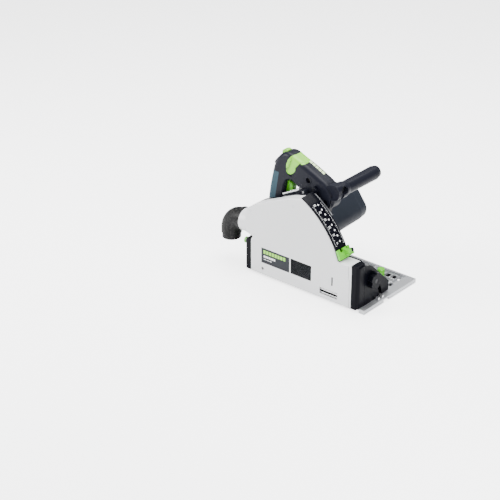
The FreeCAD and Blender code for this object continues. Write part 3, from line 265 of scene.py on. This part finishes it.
link(wear, lift, "Result", soften, "B")
wear.links.new(spread.outputs["Result"], worn.inputs[0])
wear.links.new(soften.outputs["Result"], worn.inputs[1])
link(wear, worn, "Value", w_out, "Mask")

# %% Handling marks: sparse hairlines that change the gloss a little
marks, m_in, m_out = new_group("handling_marks", [("Density", FLOAT, 60.0)], [("Mask", FLOAT)])
mark_where = marks.nodes.new("ShaderNodeTexCoord")
stretch = marks.nodes.new("ShaderNodeMapping")
stretch.inputs["Scale"].default_value = (0.15, 1.0, 1.0)
stretch.inputs["Rotation"].default_value = (0.3, 0.7, 0.4)
streak = marks.nodes.new("ShaderNodeTexNoise")
streak.inputs["Detail"].default_value = 6
thin = marks.nodes.new("ShaderNodeMapRange")
thin.inputs["From Min"].default_value = 0.56
thin.inputs["From Max"].default_value = 0.7
link(marks, mark_where, "Object", stretch, "Vector")
link(marks, stretch, "Vector", streak, "Vector")
link(marks, m_in, "Density", streak, "Scale")
link(marks, streak, "Fac", thin, "Value")
link(marks, thin, "Result", m_out, "Mask")
print("groups:", [g.name for g in bpy.data.node_groups])

# %% [markdown]
# ## One recipe, many finishes
# Moulded plastic, powder coat, rubber and cast metal differ in colour, gloss and grain but share the
# same build-up, so one function places the three groups and each finish passes its own numbers.

# %% Finish builder
def finish(name, colour, rough, metal=0.0, grain_size=900.0, grain_depth=0.15, tone=0.12,
           edge=(1, 1, 1), edge_amount=0.25, edge_reach=0.0007, mark_amount=0.08, coat=0.0, density=70.0,
           gloss_level=0.5, fleck=0.0, fleck_colour=(0.1, 0.1, 0.1)):
    """A material: colour with tone and edge wear, roughness with marks, and grain as bump."""
    material = bpy.data.materials.new(name)
    material.use_nodes = True
    tree = material.node_tree
    shader = tree.nodes["Principled BSDF"]
    shader.inputs["Metallic"].default_value = metal
    shader.inputs["Coat Weight"].default_value = coat
    shader.inputs["Coat Roughness"].default_value = 0.12
    shader.inputs["Specular IOR Level"].default_value = gloss_level
    use = {}
    for key, group in (("grain", grain), ("wear", wear), ("marks", marks)):
        use[key] = tree.nodes.new("ShaderNodeGroup")
        use[key].node_tree = group
    use["grain"].inputs["Scale"].default_value = grain_size
    use["wear"].inputs["Reach"].default_value = edge_reach
    use["marks"].inputs["Density"].default_value = density
    toned = tree.nodes.new("ShaderNodeMix")
    toned.data_type = "RGBA"
    toned.inputs["A"].default_value = (*[c * (1 - tone) for c in colour], 1)
    toned.inputs["B"].default_value = (*[min(1, c * (1 + tone)) for c in colour], 1)
    tree.links.new(use["grain"].outputs["Tone"], toned.inputs["Factor"])
    flecked = tree.nodes.new("ShaderNodeMix")
    flecked.data_type = "RGBA"
    flecked.inputs["B"].default_value = (*fleck_colour, 1)
    cell_edge = tree.nodes.new("ShaderNodeMapRange")
    cell_edge.inputs["From Min"].default_value = 0.45
    cell_edge.inputs["From Max"].default_value = 0.75
    cell_edge.inputs["To Max"].default_value = fleck
    tree.links.new(use["grain"].outputs["Height"], cell_edge.inputs["Value"])
    tree.links.new(toned.outputs["Result"], flecked.inputs["A"])
    tree.links.new(cell_edge.outputs["Result"], flecked.inputs["Factor"])
    amount = tree.nodes.new("ShaderNodeMath")
    amount.operation = "MULTIPLY"
    amount.inputs[1].default_value = edge_amount
    tree.links.new(use["wear"].outputs["Mask"], amount.inputs[0])
    edged = tree.nodes.new("ShaderNodeMix")
    edged.data_type = "RGBA"
    edged.inputs["B"].default_value = (*edge, 1)
    tree.links.new(flecked.outputs["Result"], edged.inputs["A"])
    tree.links.new(amount.outputs["Value"], edged.inputs["Factor"])
    tree.links.new(edged.outputs["Result"], shader.inputs["Base Color"])
    gloss = tree.nodes.new("ShaderNodeMapRange")
    gloss.inputs["To Min"].default_value = rough
    gloss.inputs["To Max"].default_value = min(1, rough + mark_amount)
    tree.links.new(use["marks"].outputs["Mask"], gloss.inputs["Value"])
    tree.links.new(gloss.outputs["Result"], shader.inputs["Roughness"])
    bump = tree.nodes.new("ShaderNodeBump")
    bump.inputs["Strength"].default_value = grain_depth
    bump.inputs["Distance"].default_value = 0.0004
    tree.links.new(use["grain"].outputs["Height"], bump.inputs["Height"])
    tree.links.new(bump.outputs["Normal"], shader.inputs["Normal"])
    return material


cover_white = finish("cover_white", (0.66, 0.665, 0.67), 0.36, grain_size=1500, grain_depth=0.05, tone=0.012,
                     edge_amount=0.5, edge_reach=0.0011, coat=0.15)
cast_white = finish("cast_white", (0.66, 0.665, 0.67), 0.42, grain_size=1100, grain_depth=0.12, tone=0.02,
                    edge_amount=0.5)
base_cast = finish("base_cast", (0.56, 0.57, 0.585), 0.34, metal=0.8, grain_size=1300, grain_depth=0.22,
                   tone=0.06, edge=(0.95, 0.95, 0.96), edge_amount=0.7, edge_reach=0.0010)
machined = finish("machined", (0.80, 0.81, 0.82), 0.26, metal=0.95, grain_size=2600, grain_depth=0.10,
                  tone=0.05, edge=(1, 1, 1), edge_amount=0.4)
shell_dark = finish("shell_dark", (0.0075, 0.0082, 0.0135), 0.33, grain_size=1400, grain_depth=0.12, tone=0.2,
                    edge=(0.06, 0.065, 0.085), edge_amount=0.35, gloss_level=0.13)
motor_grey = finish("motor_grey", (0.0135, 0.0165, 0.023), 0.44, grain_size=1100, grain_depth=0.2, tone=0.16,
                    edge=(0.08, 0.09, 0.11), edge_amount=0.35, gloss_level=0.15)
guard_black = finish("guard_black", (0.0022, 0.0024, 0.0048), 0.24, grain_size=1300, grain_depth=0.05, tone=0.2,
                     edge=(0.07, 0.075, 0.095), edge_amount=0.4, gloss_level=0.09)
bracket_black = finish("bracket_black", (0.0016, 0.0018, 0.0036), 0.3, grain_size=1300, grain_depth=0.03,
                       tone=0.2, edge=(0.05, 0.055, 0.07), edge_amount=0.4, edge_reach=0.0005, gloss_level=0.07)
rubber_blue = finish("rubber_blue", (0.036, 0.068, 0.088), 0.62, grain_size=900, grain_depth=0.45, tone=0.12,
                     edge=(0.10, 0.16, 0.20), edge_amount=0.35, gloss_level=0.12)
elbow_black = finish("elbow_black", (0.0035, 0.0035, 0.0038), 0.45, grain_size=330, grain_depth=0.9, tone=0.2,
                     edge=(0.05, 0.05, 0.05), edge_amount=0.4, gloss_level=0.15, fleck=0.55,
                     fleck_colour=(0.045, 0.045, 0.042))
green = finish("control_green", (0.10, 0.50, 0.010), 0.34, grain_size=1500, grain_depth=0.08, tone=0.07,
               edge=(0.3, 0.75, 0.12), edge_amount=0.35, coat=0.15)
lime = finish("accent_lime", (0.20, 0.55, 0.022), 0.38, grain_size=1300, grain_depth=0.10, tone=0.08,
              edge=(0.45, 0.85, 0.15), edge_amount=0.35, coat=0.1)
pale_lime = finish("pale_lime", (0.62, 0.78, 0.42), 0.4, grain_size=1300, grain_depth=0.08, tone=0.04)
steel = finish("steel", (0.60, 0.61, 0.62), 0.28, metal=1.0, grain_size=2400, grain_depth=0.10, tone=0.08,
               edge=(0.9, 0.9, 0.9), edge_amount=0.4)
black_steel = finish("black_steel", (0.02, 0.02, 0.022), 0.35, metal=0.6, grain_size=2000, grain_depth=0.1,
                     edge=(0.3, 0.3, 0.3), edge_amount=0.5)
strip_grey = finish("strip_grey", (0.30, 0.31, 0.31), 0.5, grain_size=1500, grain_depth=0.2)
copper = finish("copper", (0.62, 0.27, 0.10), 0.34, metal=0.85, grain_size=1800, grain_depth=0.5, tone=0.15)
label_dark = finish("label_dark", (0.006, 0.0085, 0.0125), 0.28, grain_size=2400, grain_depth=0.04, tone=0.03,
                    edge_amount=0.0, gloss_level=0.25)
mark_white = finish("mark_white", (0.85, 0.86, 0.86), 0.5, grain_size=2400, grain_depth=0.05, tone=0.03,
                    edge_amount=0.0)
board_green = finish("board_green", (0.03, 0.16, 0.06), 0.4, grain_size=2000, grain_depth=0.1)
print(len(bpy.data.materials), "materials so far")

# %% [markdown]
# ## Clear and special surfaces
# The window in the cover is a pane tinted near black as painted shade of the dim guard inside, and it
# lets a little of the blade show through. The blade is ground steel: the grinding wheel leaves fine
# rings about the arbor, so its pattern is a wave texture centred on the spindle. The laminations are
# thin sheets stacked along Y.

# %% Window pane, tinted near black as painted shade
pane_finish = bpy.data.materials.new("window_pane")
pane_finish.use_nodes = True
pane_tree = pane_finish.node_tree
pane_shader = pane_tree.nodes["Principled BSDF"]
pane_shader.inputs["IOR"].default_value = 1.49
pane_shader.inputs["Alpha"].default_value = 0.74
pane_shader.inputs["Specular IOR Level"].default_value = 0.06
# The near-black tint is painted shade, standing in for the dim guard behind the pane.
pane_shade_tint = pane_tree.nodes.new("ShaderNodeMix")
pane_shade_tint.data_type = "RGBA"
pane_shade_tint.inputs["A"].default_value = (0.004, 0.005, 0.006, 1)
pane_shade_tint.inputs["B"].default_value = (0.009, 0.010, 0.012, 1)
pane_grain = pane_tree.nodes.new("ShaderNodeGroup")
pane_grain.node_tree = grain
pane_tree.links.new(pane_grain.outputs["Tone"], pane_shade_tint.inputs["Factor"])
pane_tree.links.new(pane_shade_tint.outputs["Result"], pane_shader.inputs["Base Color"])
pane_gloss = pane_tree.nodes.new("ShaderNodeMapRange")
pane_gloss.inputs["To Min"].default_value = 0.06
pane_gloss.inputs["To Max"].default_value = 0.16
pane_marks = pane_tree.nodes.new("ShaderNodeGroup")
pane_marks.node_tree = marks
pane_tree.links.new(pane_marks.outputs["Mask"], pane_gloss.inputs["Value"])
pane_tree.links.new(pane_gloss.outputs["Result"], pane_shader.inputs["Roughness"])

# %% Ground and stacked steel: a wave pattern that follows the way the metal was made
def patterned(material, kind, direction, centre, size, depth):
    """Adds rings about Y, or bands along Y, as a second bump under the grain."""
    tree = material.node_tree
    place = tree.nodes.new("ShaderNodeTexCoord")
    shift = tree.nodes.new("ShaderNodeMapping")
    shift.inputs["Location"].default_value = [-c for c in centre]
    wave = tree.nodes.new("ShaderNodeTexWave")
    wave.wave_type = kind
    if kind == "RINGS":
        wave.rings_direction = direction
    else:
        wave.bands_direction = direction
    wave.inputs["Scale"].default_value = size
    wave.inputs["Distortion"].default_value = 1.5
    wave.inputs["Detail"].default_value = 3
    tree.links.new(place.outputs["Object"], shift.inputs["Vector"])
    tree.links.new(shift.outputs["Vector"], wave.inputs["Vector"])
    under = tree.nodes.new("ShaderNodeBump")
    under.inputs["Strength"].default_value = depth
    under.inputs["Distance"].default_value = 0.0003
    tree.links.new(wave.outputs["Fac"], under.inputs["Height"])
    over = [n for n in tree.nodes if n.bl_idname == "ShaderNodeBump" and n is not under][0]
    tree.links.new(under.outputs["Normal"], over.inputs["Normal"])


blade_low, blade_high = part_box("saw_blade")
SPINDLE = (blade_low + blade_high) / 2
blade_steel = finish("blade_steel", (0.62, 0.63, 0.64), 0.24, metal=1.0, grain_size=3000, grain_depth=0.06,
                     tone=0.08, edge=(0.85, 0.85, 0.85), edge_amount=0.5)
patterned(blade_steel, "RINGS", "Y", SPINDLE, 260, 0.5)
lamination = finish("lamination", (0.30, 0.30, 0.31), 0.45, metal=0.8, grain_size=2000)
patterned(lamination, "BANDS", "Y", (0, 0, 0), 320, 0.9)
print("spindle at, mm:", [round(v * 1000, 1) for v in SPINDLE])

# %% [markdown]
# ## Dress the frame
# Each CAD piece takes one finish. The lists below read like a parts bin: everything that is powder
# coated together, everything moulded in the dark nylon, and so on.

# %% Give every CAD node its finish
BIN = {
    cover_white: ["side_cover"],
    cast_white: ["front_block"],
    base_cast: ["base_plate"],
    strip_grey: ["glide_strips"],
    machined: ["cut_indicator", "splinter_guide", "edge_strip", "lever_plate"],
    guard_black: ["front_bevel_lug", "rear_bevel_lug", "guard_casting", "depth_scale", "front_sector",
                  "rear_sector", "gearcase", "bearing_plate"],
    shell_dark: ["handle_shell_near", "handle_shell_far", "mains_inlet", "front_handle", "switch_module",
                 "changeover_lever", "front_clamp_knob", "rear_clamp_knob", "cooling_fan"],
    motor_grey: ["motor_housing", "motor_end_cap"],
    label_dark: ["label_plate"],
    pane_finish: ["view_window"],
    rubber_blue: ["grip_pad"],
    green: ["trigger", "depth_stop", "front_rail_adjuster", "rear_rail_adjuster", "undercut_button",
            "speed_dial"],
    lime: ["handle_inlay", "lock_off_button"],
    board_green: ["electronics_module"],
    elbow_black: ["dust_elbow"],
    black_steel: ["blade_bolt", "handle_screws", "clamp_bolts"],
    blade_steel: ["saw_blade"],
    lamination: ["stator_core", "rotor_core"],
    copper: ["field_coils", "rotor_windings", "commutator", "brush_gear"],
    steel: ["cover_screws", "plunge_pin", "return_spring", "lever_pin",
            "ball_bearings", "spindle", "spindle_gear", "outer_flange", "rotor_shaft", "riving_knife"],
}
dressed = set()
for material, names in BIN.items():
    for name in names:
        mesh = nodes[name].data
        mesh.materials.clear()
        mesh.materials.append(material)
        dressed.add(name)
print(len(dressed), "nodes dressed; left:", sorted(set(nodes) - dressed))

# %% [markdown]
# ## Soft edges on the cast and moulded blocks
# A casting or a moulding never has a razor edge. The frame gives exact flat faces, so each block is
# copied, its loose triangles are welded, flat areas are dissolved back into single faces, and a Bevel
# modifier rolls its edges. The copy then stands for the CAD piece, which stays as its collision shape.

# %% A softened copy of a CAD node
WELD = 0.00002         # metres within which two corners are one
FLAT_WITHIN = 1.5      # degrees within which neighbouring faces are one flat
ROLL_FROM = 32         # degrees from which an edge is rolled


def softened(node, body, material, width):
    """A copy of a CAD node with its edges rolled to a width in millimetres; it replaces the node."""
    piece = loose_copy(node)
    deselect_all()
    piece.select_set(True)
    bpy.context.view_layer.objects.active = piece
    bpy.ops.object.mode_set(mode="EDIT")
    bpy.ops.mesh.select_all(action="SELECT")
    bpy.ops.mesh.remove_doubles(threshold=WELD)
    bpy.ops.mesh.dissolve_limited(angle_limit=math.radians(FLAT_WITHIN))
    bpy.ops.object.mode_set(mode="OBJECT")
    roll = piece.modifiers.new("roll", "BEVEL")
    roll.width, roll.segments = width / 1000, 3
    roll.limit_method, roll.angle_limit = "ANGLE", math.radians(ROLL_FROM)
    apply_modifiers(piece)
    dress(piece, node + "_soft", body, material)
    piece.modifiers.new("flats", "WEIGHTED_NORMAL").keep_sharp = True
    apply_modifiers(piece)
    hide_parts(node)
    return piece


SOFT_BLOCKS = [  # node, body, slot, material, edge radius in mm
    ("front_sector", "housing", "guard_dark", bracket_black, 4.5),
    ("rear_sector", "housing", "guard_dark", bracket_black, 1.5),
    ("front_block", "housing", "cast_white", cast_white, 1.2),
    ("front_bevel_lug", "base", "guard_dark", guard_black, 1.0),
    ("rear_bevel_lug", "base", "guard_dark", guard_black, 1.0),
    ("trigger", "switch_trigger", "control_green", green, 1.6),
    ("changeover_lever", "lever", "housing_dark", shell_dark, 0.8),
    ("lever_plate", "lever", "machined_metal", machined, 0.5),
    ("front_clamp_knob", "front_knob", "housing_dark", bracket_black, 1.0),
    ("rear_clamp_knob", "rear_knob", "housing_dark", shell_dark, 1.0),
]
for node, body, slot, material, width in SOFT_BLOCKS:
    piece = softened(node, body, material, width)
    print(piece.name, len(piece.data.polygons), "faces")

# %% [markdown]
# ## Depth scale
# The curved band at the front of the guard carries the cutting depths. The marks are thin raised
# inlays: short ticks along both edges, a longer one every fifth, and numbers and small squares
# between. Everything is laid out by its angle about the plunge pin, as the real scale is.

# %% Places on the band
PIN_X, PIN_Z = 28.0, 23.0   # centre of the plunge pin in the datum, mm
BAND = 186.12               # radius on which the marks sit, mm


def on_band(angle, y, radius=BAND):
    """Frame of a mark: its x runs across the band, its y up along it, its z straight out."""
    a = math.radians(angle)
    across = Vector((0, 1, 0))
    along = Vector((-math.sin(a), 0, math.cos(a)))
    out = Vector((math.cos(a), 0, math.sin(a)))
    turn = Matrix((across, along, out)).transposed().to_4x4()
    return Matrix.Translation(at(PIN_X + radius * math.cos(a), y, PIN_Z + radius * math.sin(a))) @ turn


def block(size, bevel, segments=2):
    """A small bevelled block about its own centre, sizes in millimetres."""
    deselect_all()
    bpy.ops.mesh.primitive_cube_add(size=1, location=(0, 0, 0))
    piece = bpy.context.object
    piece.scale = [s / 1000 for s in size]
    settle(piece)
    bpy.ops.object.mode_set(mode="EDIT")
    bpy.ops.mesh.select_all(action="SELECT")
    bpy.ops.mesh.bevel(offset=bevel / 1000, segments=segments)
    bpy.ops.object.mode_set(mode="OBJECT")
    return piece


def copies(master, places):
    """A copy of master at each place, each with its own mesh; the master goes."""
    out = []
    for place in places:
        piece = master.copy()
        piece.data = master.data.copy()
        piece.data.transform(place)
        bpy.context.scene.collection.objects.link(piece)
        out.append(piece)
    bpy.data.objects.remove(master)
    return out


# %% Ticks and squares
FIRST, LAST, STEP = 29.0, 55.4, 0.66   # degrees about the pin
ticks = int((LAST - FIRST) / STEP)
short_tick = block((2.0, 0.34, 0.12), 0.03)
long_tick = block((3.4, 0.42, 0.12), 0.03)
square = block((2.9, 2.9, 0.12), 0.04)
short_places = [on_band(FIRST + i * STEP, y) for i in range(ticks) if i % 5 for y in (6.6, 29.4)]
long_places = [on_band(FIRST + i * STEP, y) for i in range(0, ticks, 5) for y in (7.3, 28.7)]
square_places = [on_band(FIRST + (i + 2.5) * STEP, 20.6) @ Matrix.Rotation(math.radians(45), 4, "Z")
                 for i in range(0, ticks - 3, 5)]
scale_marks = join(copies(short_tick, short_places) + copies(long_tick, long_places)
                   + copies(square, square_places))
dress(scale_marks, "scale_marks", "housing", mark_white)
print("marks:", len(short_places), "short,", len(long_places), "long,", len(square_places), "squares")

# %% Numbers from 0 up to the full depth of cut
numbers = []
for i, depth in enumerate(range(0, 60, 10)):
    deselect_all()
    bpy.ops.object.text_add(location=(0, 0, 0))
    word = bpy.context.object
    word.data.body = str(depth)
    word.data.size, word.data.extrude = 0.0062, 0.00006
    word.data.align_x, word.data.align_y = "CENTER", "CENTER"
    bpy.ops.object.convert(target="MESH")
    number = bpy.context.object
    number.data.transform(on_band(FIRST + 1.2 + (LAST - FIRST - 2.4) * i / 5, 12.6))
    numbers.append(number)
scale_numbers = join(numbers)
dress(scale_numbers, "scale_numbers", "housing", mark_white, angle=30)
print("numbers:", len(numbers))

# %% [markdown]
# ## Label
# The dark label carries plain bars of light ink in place of lettering, a lime one over two white ones.
# They are thin raised blocks, so that their edges catch light as printed film does.

# %% Label bars
def ink_row(name, material, rows):
    """Rows of short bars: x start, x end, z low, z high, and how many bars each row is cut into."""
    bars = []
    for x_1, x_2, z_1, z_2, count in rows:
        pitch = (x_2 - x_1) / count
        for i in range(count):
            bar = block((pitch * 0.78, 0.08, z_2 - z_1), 0.02)
            bar.data.transform(Matrix.Translation(at(x_1 + pitch * (i + 0.5), 0.06, (z_1 + z_2) / 2)))
            bars.append(bar)
    dress(join(bars), name, "housing", material)
    print(name, len(bars), "bars")


ink_row("label_bars_lime", lime, [(29, 82, 48.6, 55.6, 8)])
ink_row("label_bars_white", mark_white, [(30, 58, 40.6, 44.8, 7), (30, 50, 36.2, 37.4, 3)])

# %% [markdown]
# ## Painted shade in cuts and pockets
# A narrow cut in a pale cover looks black, because hardly any light reaches its floor. A thin, dull
# floor inside each cut paints that shade in without changing the cover. The base is a ribbed casting,
# so a few ribs, and pockets with floors of painted shade, are added to its front corner in the same way.

# %% A dead black for painted shade on the floors of deep cuts
painted_shade_black = finish("painted_shade_black", (0.0015, 0.0015, 0.002), 0.7, edge_amount=0.0, gloss_level=0.03)

# %% Painted shade: dark floors in the cover's slot, socket and split line
def box_set(boxes, bevel):
    """Blocks joined into one piece. A box is its low corner and its high corner in the datum."""
    parts = []
    for low, high in boxes:
        part = block([h - l for l, h in zip(low, high)], bevel)
        part.data.transform(Matrix.Translation(at(*[(l + h) / 2 for l, h in zip(low, high)])))
        parts.append(part)
    return join(parts)


def lining(name, boxes, body="housing"):
    """Thin dark floors inside cuts: painted shade where little light reaches."""
    dress(box_set(boxes, 0.05), name, body, painted_shade_black)
    print(name, len(boxes), "floors")


lining("cover_slot_painted_shade_floor", [((187.05, 0.6, 36.05), (190.15, 0.9, 53.45))])
lining("cover_socket_painted_shade_floor", [
    ((160.75, 2.2, 12.05), (200.95, 2.5, 13.4)),
    ((160.75, 2.2, 15.6), (200.95, 2.5, 19.9)),
    ((160.75, 2.2, 22.6), (200.95, 2.5, 24.95)),
])
lining("cover_split_painted_shade_floor", [
    ((223.65, 0.5, 61), (224.35, 0.75, 87.2)),
    ((224.4, 0.5, 60.1), (227.1, 0.75, 60.7)),
    ((226.45, 0.5, 4.2), (227.15, 0.75, 60)),
])

# %% Painted shade on the floors of the base casting's pockets, and its ribs
lining("base_pockets_painted_shade", [
    ((204, 139, 3.2), (214.5, 155, 3.5)),
    ((217.5, 139, 3.2), (228.5, 155, 3.5)),
    ((225, 117, 3.2), (236, 123.5, 3.5)),
], "base")
BASE_RIBS = [
    ((202, 137, 3.2), (203.6, 157, 8)),
    ((215, 137, 3.2), (217, 157, 7)),
    ((229, 115, 3.2), (230.6, 157, 8)),
    ((203.6, 137, 3.2), (229, 138.6, 7)),
    ((222, 124.5, 3.2), (240, 126, 6.5)),
]
dress(box_set(BASE_RIBS, 0.35), "base_ribs", "base", base_cast)
print("ribs:", len(BASE_RIBS))

# %% [markdown]
# ## Handle inlays
# The handle's shoulder wears a lime patch that runs over the top and ends in a round lobe, and a pale
# strip follows the arm down. Both hug the rounded shell, so each is drawn as a flat outline in front
# of it, cut into a fine net, laid on by a Shrinkwrap modifier, and given its thickness afterwards.

# %% A patch laid on the handle
LOOK_RIGHT = Vector((math.cos(az), math.sin(az), 0))
LOOK_UP = back.cross(LOOK_RIGHT)
PLANE_OUT = 0.30   # metres from the datum to the look plane
handle_form = join([loose_copy(name) for name in ("handle_shell_near", "handle_shell_far", "handle_inlay")])
handle_form.name = "handle_form"


def flat_outline(points, net):
    """A filled outline in the look plane, cut into a net. Points are millimetres right and up."""
    deselect_all()
    bpy.ops.mesh.primitive_circle_add(vertices=len(points), radius=1, fill_type="NGON")
    piece = bpy.context.object
    for vertex, (u, v) in zip(piece.data.vertices, points):
        vertex.co = at(0, 0, 0) + LOOK_RIGHT * u / 1000 + LOOK_UP * v / 1000 + back * PLANE_OUT
    bpy.ops.object.mode_set(mode="EDIT")
    for axis, low, high in ((LOOK_RIGHT, min(p[0] for p in points), max(p[0] for p in points)),
                            (LOOK_UP, min(p[1] for p in points), max(p[1] for p in points))):
        cut = low + net
        while cut < high:
            bpy.ops.mesh.select_all(action="SELECT")
            bpy.ops.mesh.bisect(plane_co=at(0, 0, 0) + axis * cut / 1000, plane_no=axis)
            cut += net
    bpy.ops.mesh.select_all(action="SELECT")
    bpy.ops.mesh.normals_make_consistent(inside=False)
    bpy.ops.object.mode_set(mode="OBJECT")
    return piece


def lay_on(piece, target, thickness, edge):
    """Lays a flat net on target along the look, then thickens it and rounds its rim."""
    for vertex in piece.data.vertices:
        reach, where, normal, _ = target.ray_cast(vertex.co, -back)
        vertex.co = where if reach else vertex.co
    piece.data.update()
    wrap = piece.modifiers.new("hug", "SHRINKWRAP")
    wrap.target, wrap.wrap_method, wrap.offset = target, "NEAREST_SURFACEPOINT", 0.0
    body = piece.modifiers.new("body", "SOLIDIFY")
    body.thickness, body.offset = thickness / 1000, 1.0
    rim = piece.modifiers.new("rim", "BEVEL")
    rim.width, rim.segments = edge / 1000, 2
    rim.limit_method, rim.angle_limit = "ANGLE", math.radians(50)
    apply_modifiers(piece)
    return piece


# %% The lime patch
LOBE = (71.5, 184.6)   # centre of the round end, mm right of the datum and above it in the look plane
lobe = [(LOBE[0] + 8.3 * math.cos(math.radians(a)), LOBE[1] - 8.8 * math.sin(math.radians(a)))
        for a in range(170, -20, -20)]
patch_line = lobe + [
    (83.0, 189.3), (88.2, 194.3), (95.0, 196.5), (101.5, 195.9), (105.1, 199.9), (100.8, 204.9),
    (94.3, 209.6), (87.1, 211.2), (79.2, 210.3), (71.7, 206.7), (66.3, 201.3), (63.4, 193.4),
]
patch = flat_outline(patch_line, 2.0)
lay_on(patch, handle_form, 0.5, 0.25)
dress(patch, "shoulder_patch", "plunge_unit", lime, angle=60)
print("patch faces:", len(patch.data.polygons))

# %% The arm strip in five pale segments
strip_start, strip_end = Vector((105.1, 199.5)), Vector((132.0, 174.4))
run = strip_end - strip_start
side = Vector((-run.y, run.x)).normalized()
SEGMENTS, GAP, half = 5, 0.015, 2.07   # gap as a share of the run, half width in mm
strips = []
for i in range(SEGMENTS):
    a = strip_start + run * (i / SEGMENTS + GAP)
    b = strip_start + run * ((i + 1) / SEGMENTS - GAP)
    corners = [a + side * half, b + side * half, b - side * half, a - side * half]
    segment = flat_outline([tuple(c) for c in corners], 1.8)
    strips.append(lay_on(segment, handle_form, 0.35, 0.12))
dress(join(strips), "arm_strip", "plunge_unit", pale_lime, angle=60)
bpy.data.objects.remove(handle_form)
print("strip segments:", len(strips))

# %% [markdown]
# ## Screw cup and thumb knob
# Two small moulded details: the raised lip of the deep cup that hides the arm's screw, and the black
# thumb knob on the depth stop. Both start as a circle or cylinder and get their shape in edit mode.

# %% A raised lip round the screw recess
def turned_to(place, direction):
    """Turns +Z to a direction at a place."""
    return Matrix.Translation(place) @ Vector(direction).to_track_quat("Z", "Y").to_matrix().to_4x4()


def lip(name, hole, width, height, place, direction):
    """A flat ring round a hole, with its outer edge rolled down to the shell."""
    deselect_all()
    bpy.ops.mesh.primitive_circle_add(vertices=48, radius=(hole + width) / 1000, fill_type="NGON")
    ring = bpy.context.object
    bpy.ops.object.mode_set(mode="EDIT")
    bpy.ops.mesh.select_all(action="SELECT")
    bpy.ops.mesh.inset(thickness=width / 1000)
    bpy.ops.mesh.delete(type="ONLY_FACE")
    bpy.ops.mesh.select_all(action="SELECT")
    bpy.ops.mesh.extrude_region_move(TRANSFORM_OT_translate={"value": (0, 0, height / 1000)})
    bpy.ops.mesh.select_all(action="SELECT")
    bpy.ops.mesh.normals_make_consistent(inside=False)
    bpy.ops.object.mode_set(mode="OBJECT")
    roll = ring.modifiers.new("roll", "BEVEL")
    roll.width, roll.segments, roll.limit_method = height * 0.45 / 1000, 3, "ANGLE"
    apply_modifiers(ring)
    ring.data.transform(turned_to(place, direction))
    dress(ring, name, "plunge_unit", shell_dark)
    print(name, len(ring.data.polygons), "faces")


lip("arm_screw_lip", 5.2, 1.9, 0.9, at(97, 43.6, 200), (0, -1, 0))

# %% Thumb knob beside the depth stop
deselect_all()
bpy.ops.mesh.primitive_cylinder_add(vertices=32, radius=0.0038, depth=0.008, location=(0, 0, 0.004))
thumb = bpy.context.object
settle(thumb)
bpy.ops.object.mode_set(mode="EDIT")
bpy.ops.mesh.select_all(action="SELECT")
bpy.ops.mesh.bevel(offset=0.0008, segments=3)
bpy.ops.object.mode_set(mode="OBJECT")
thumb.data.transform(turned_to(at(201.6, 32.0, 99.6), (0.86, 0, 0.5)))
dress(thumb, "depth_thumb_knob", "stop", shell_dark)
print("thumb knob:", len(thumb.data.polygons), "faces")
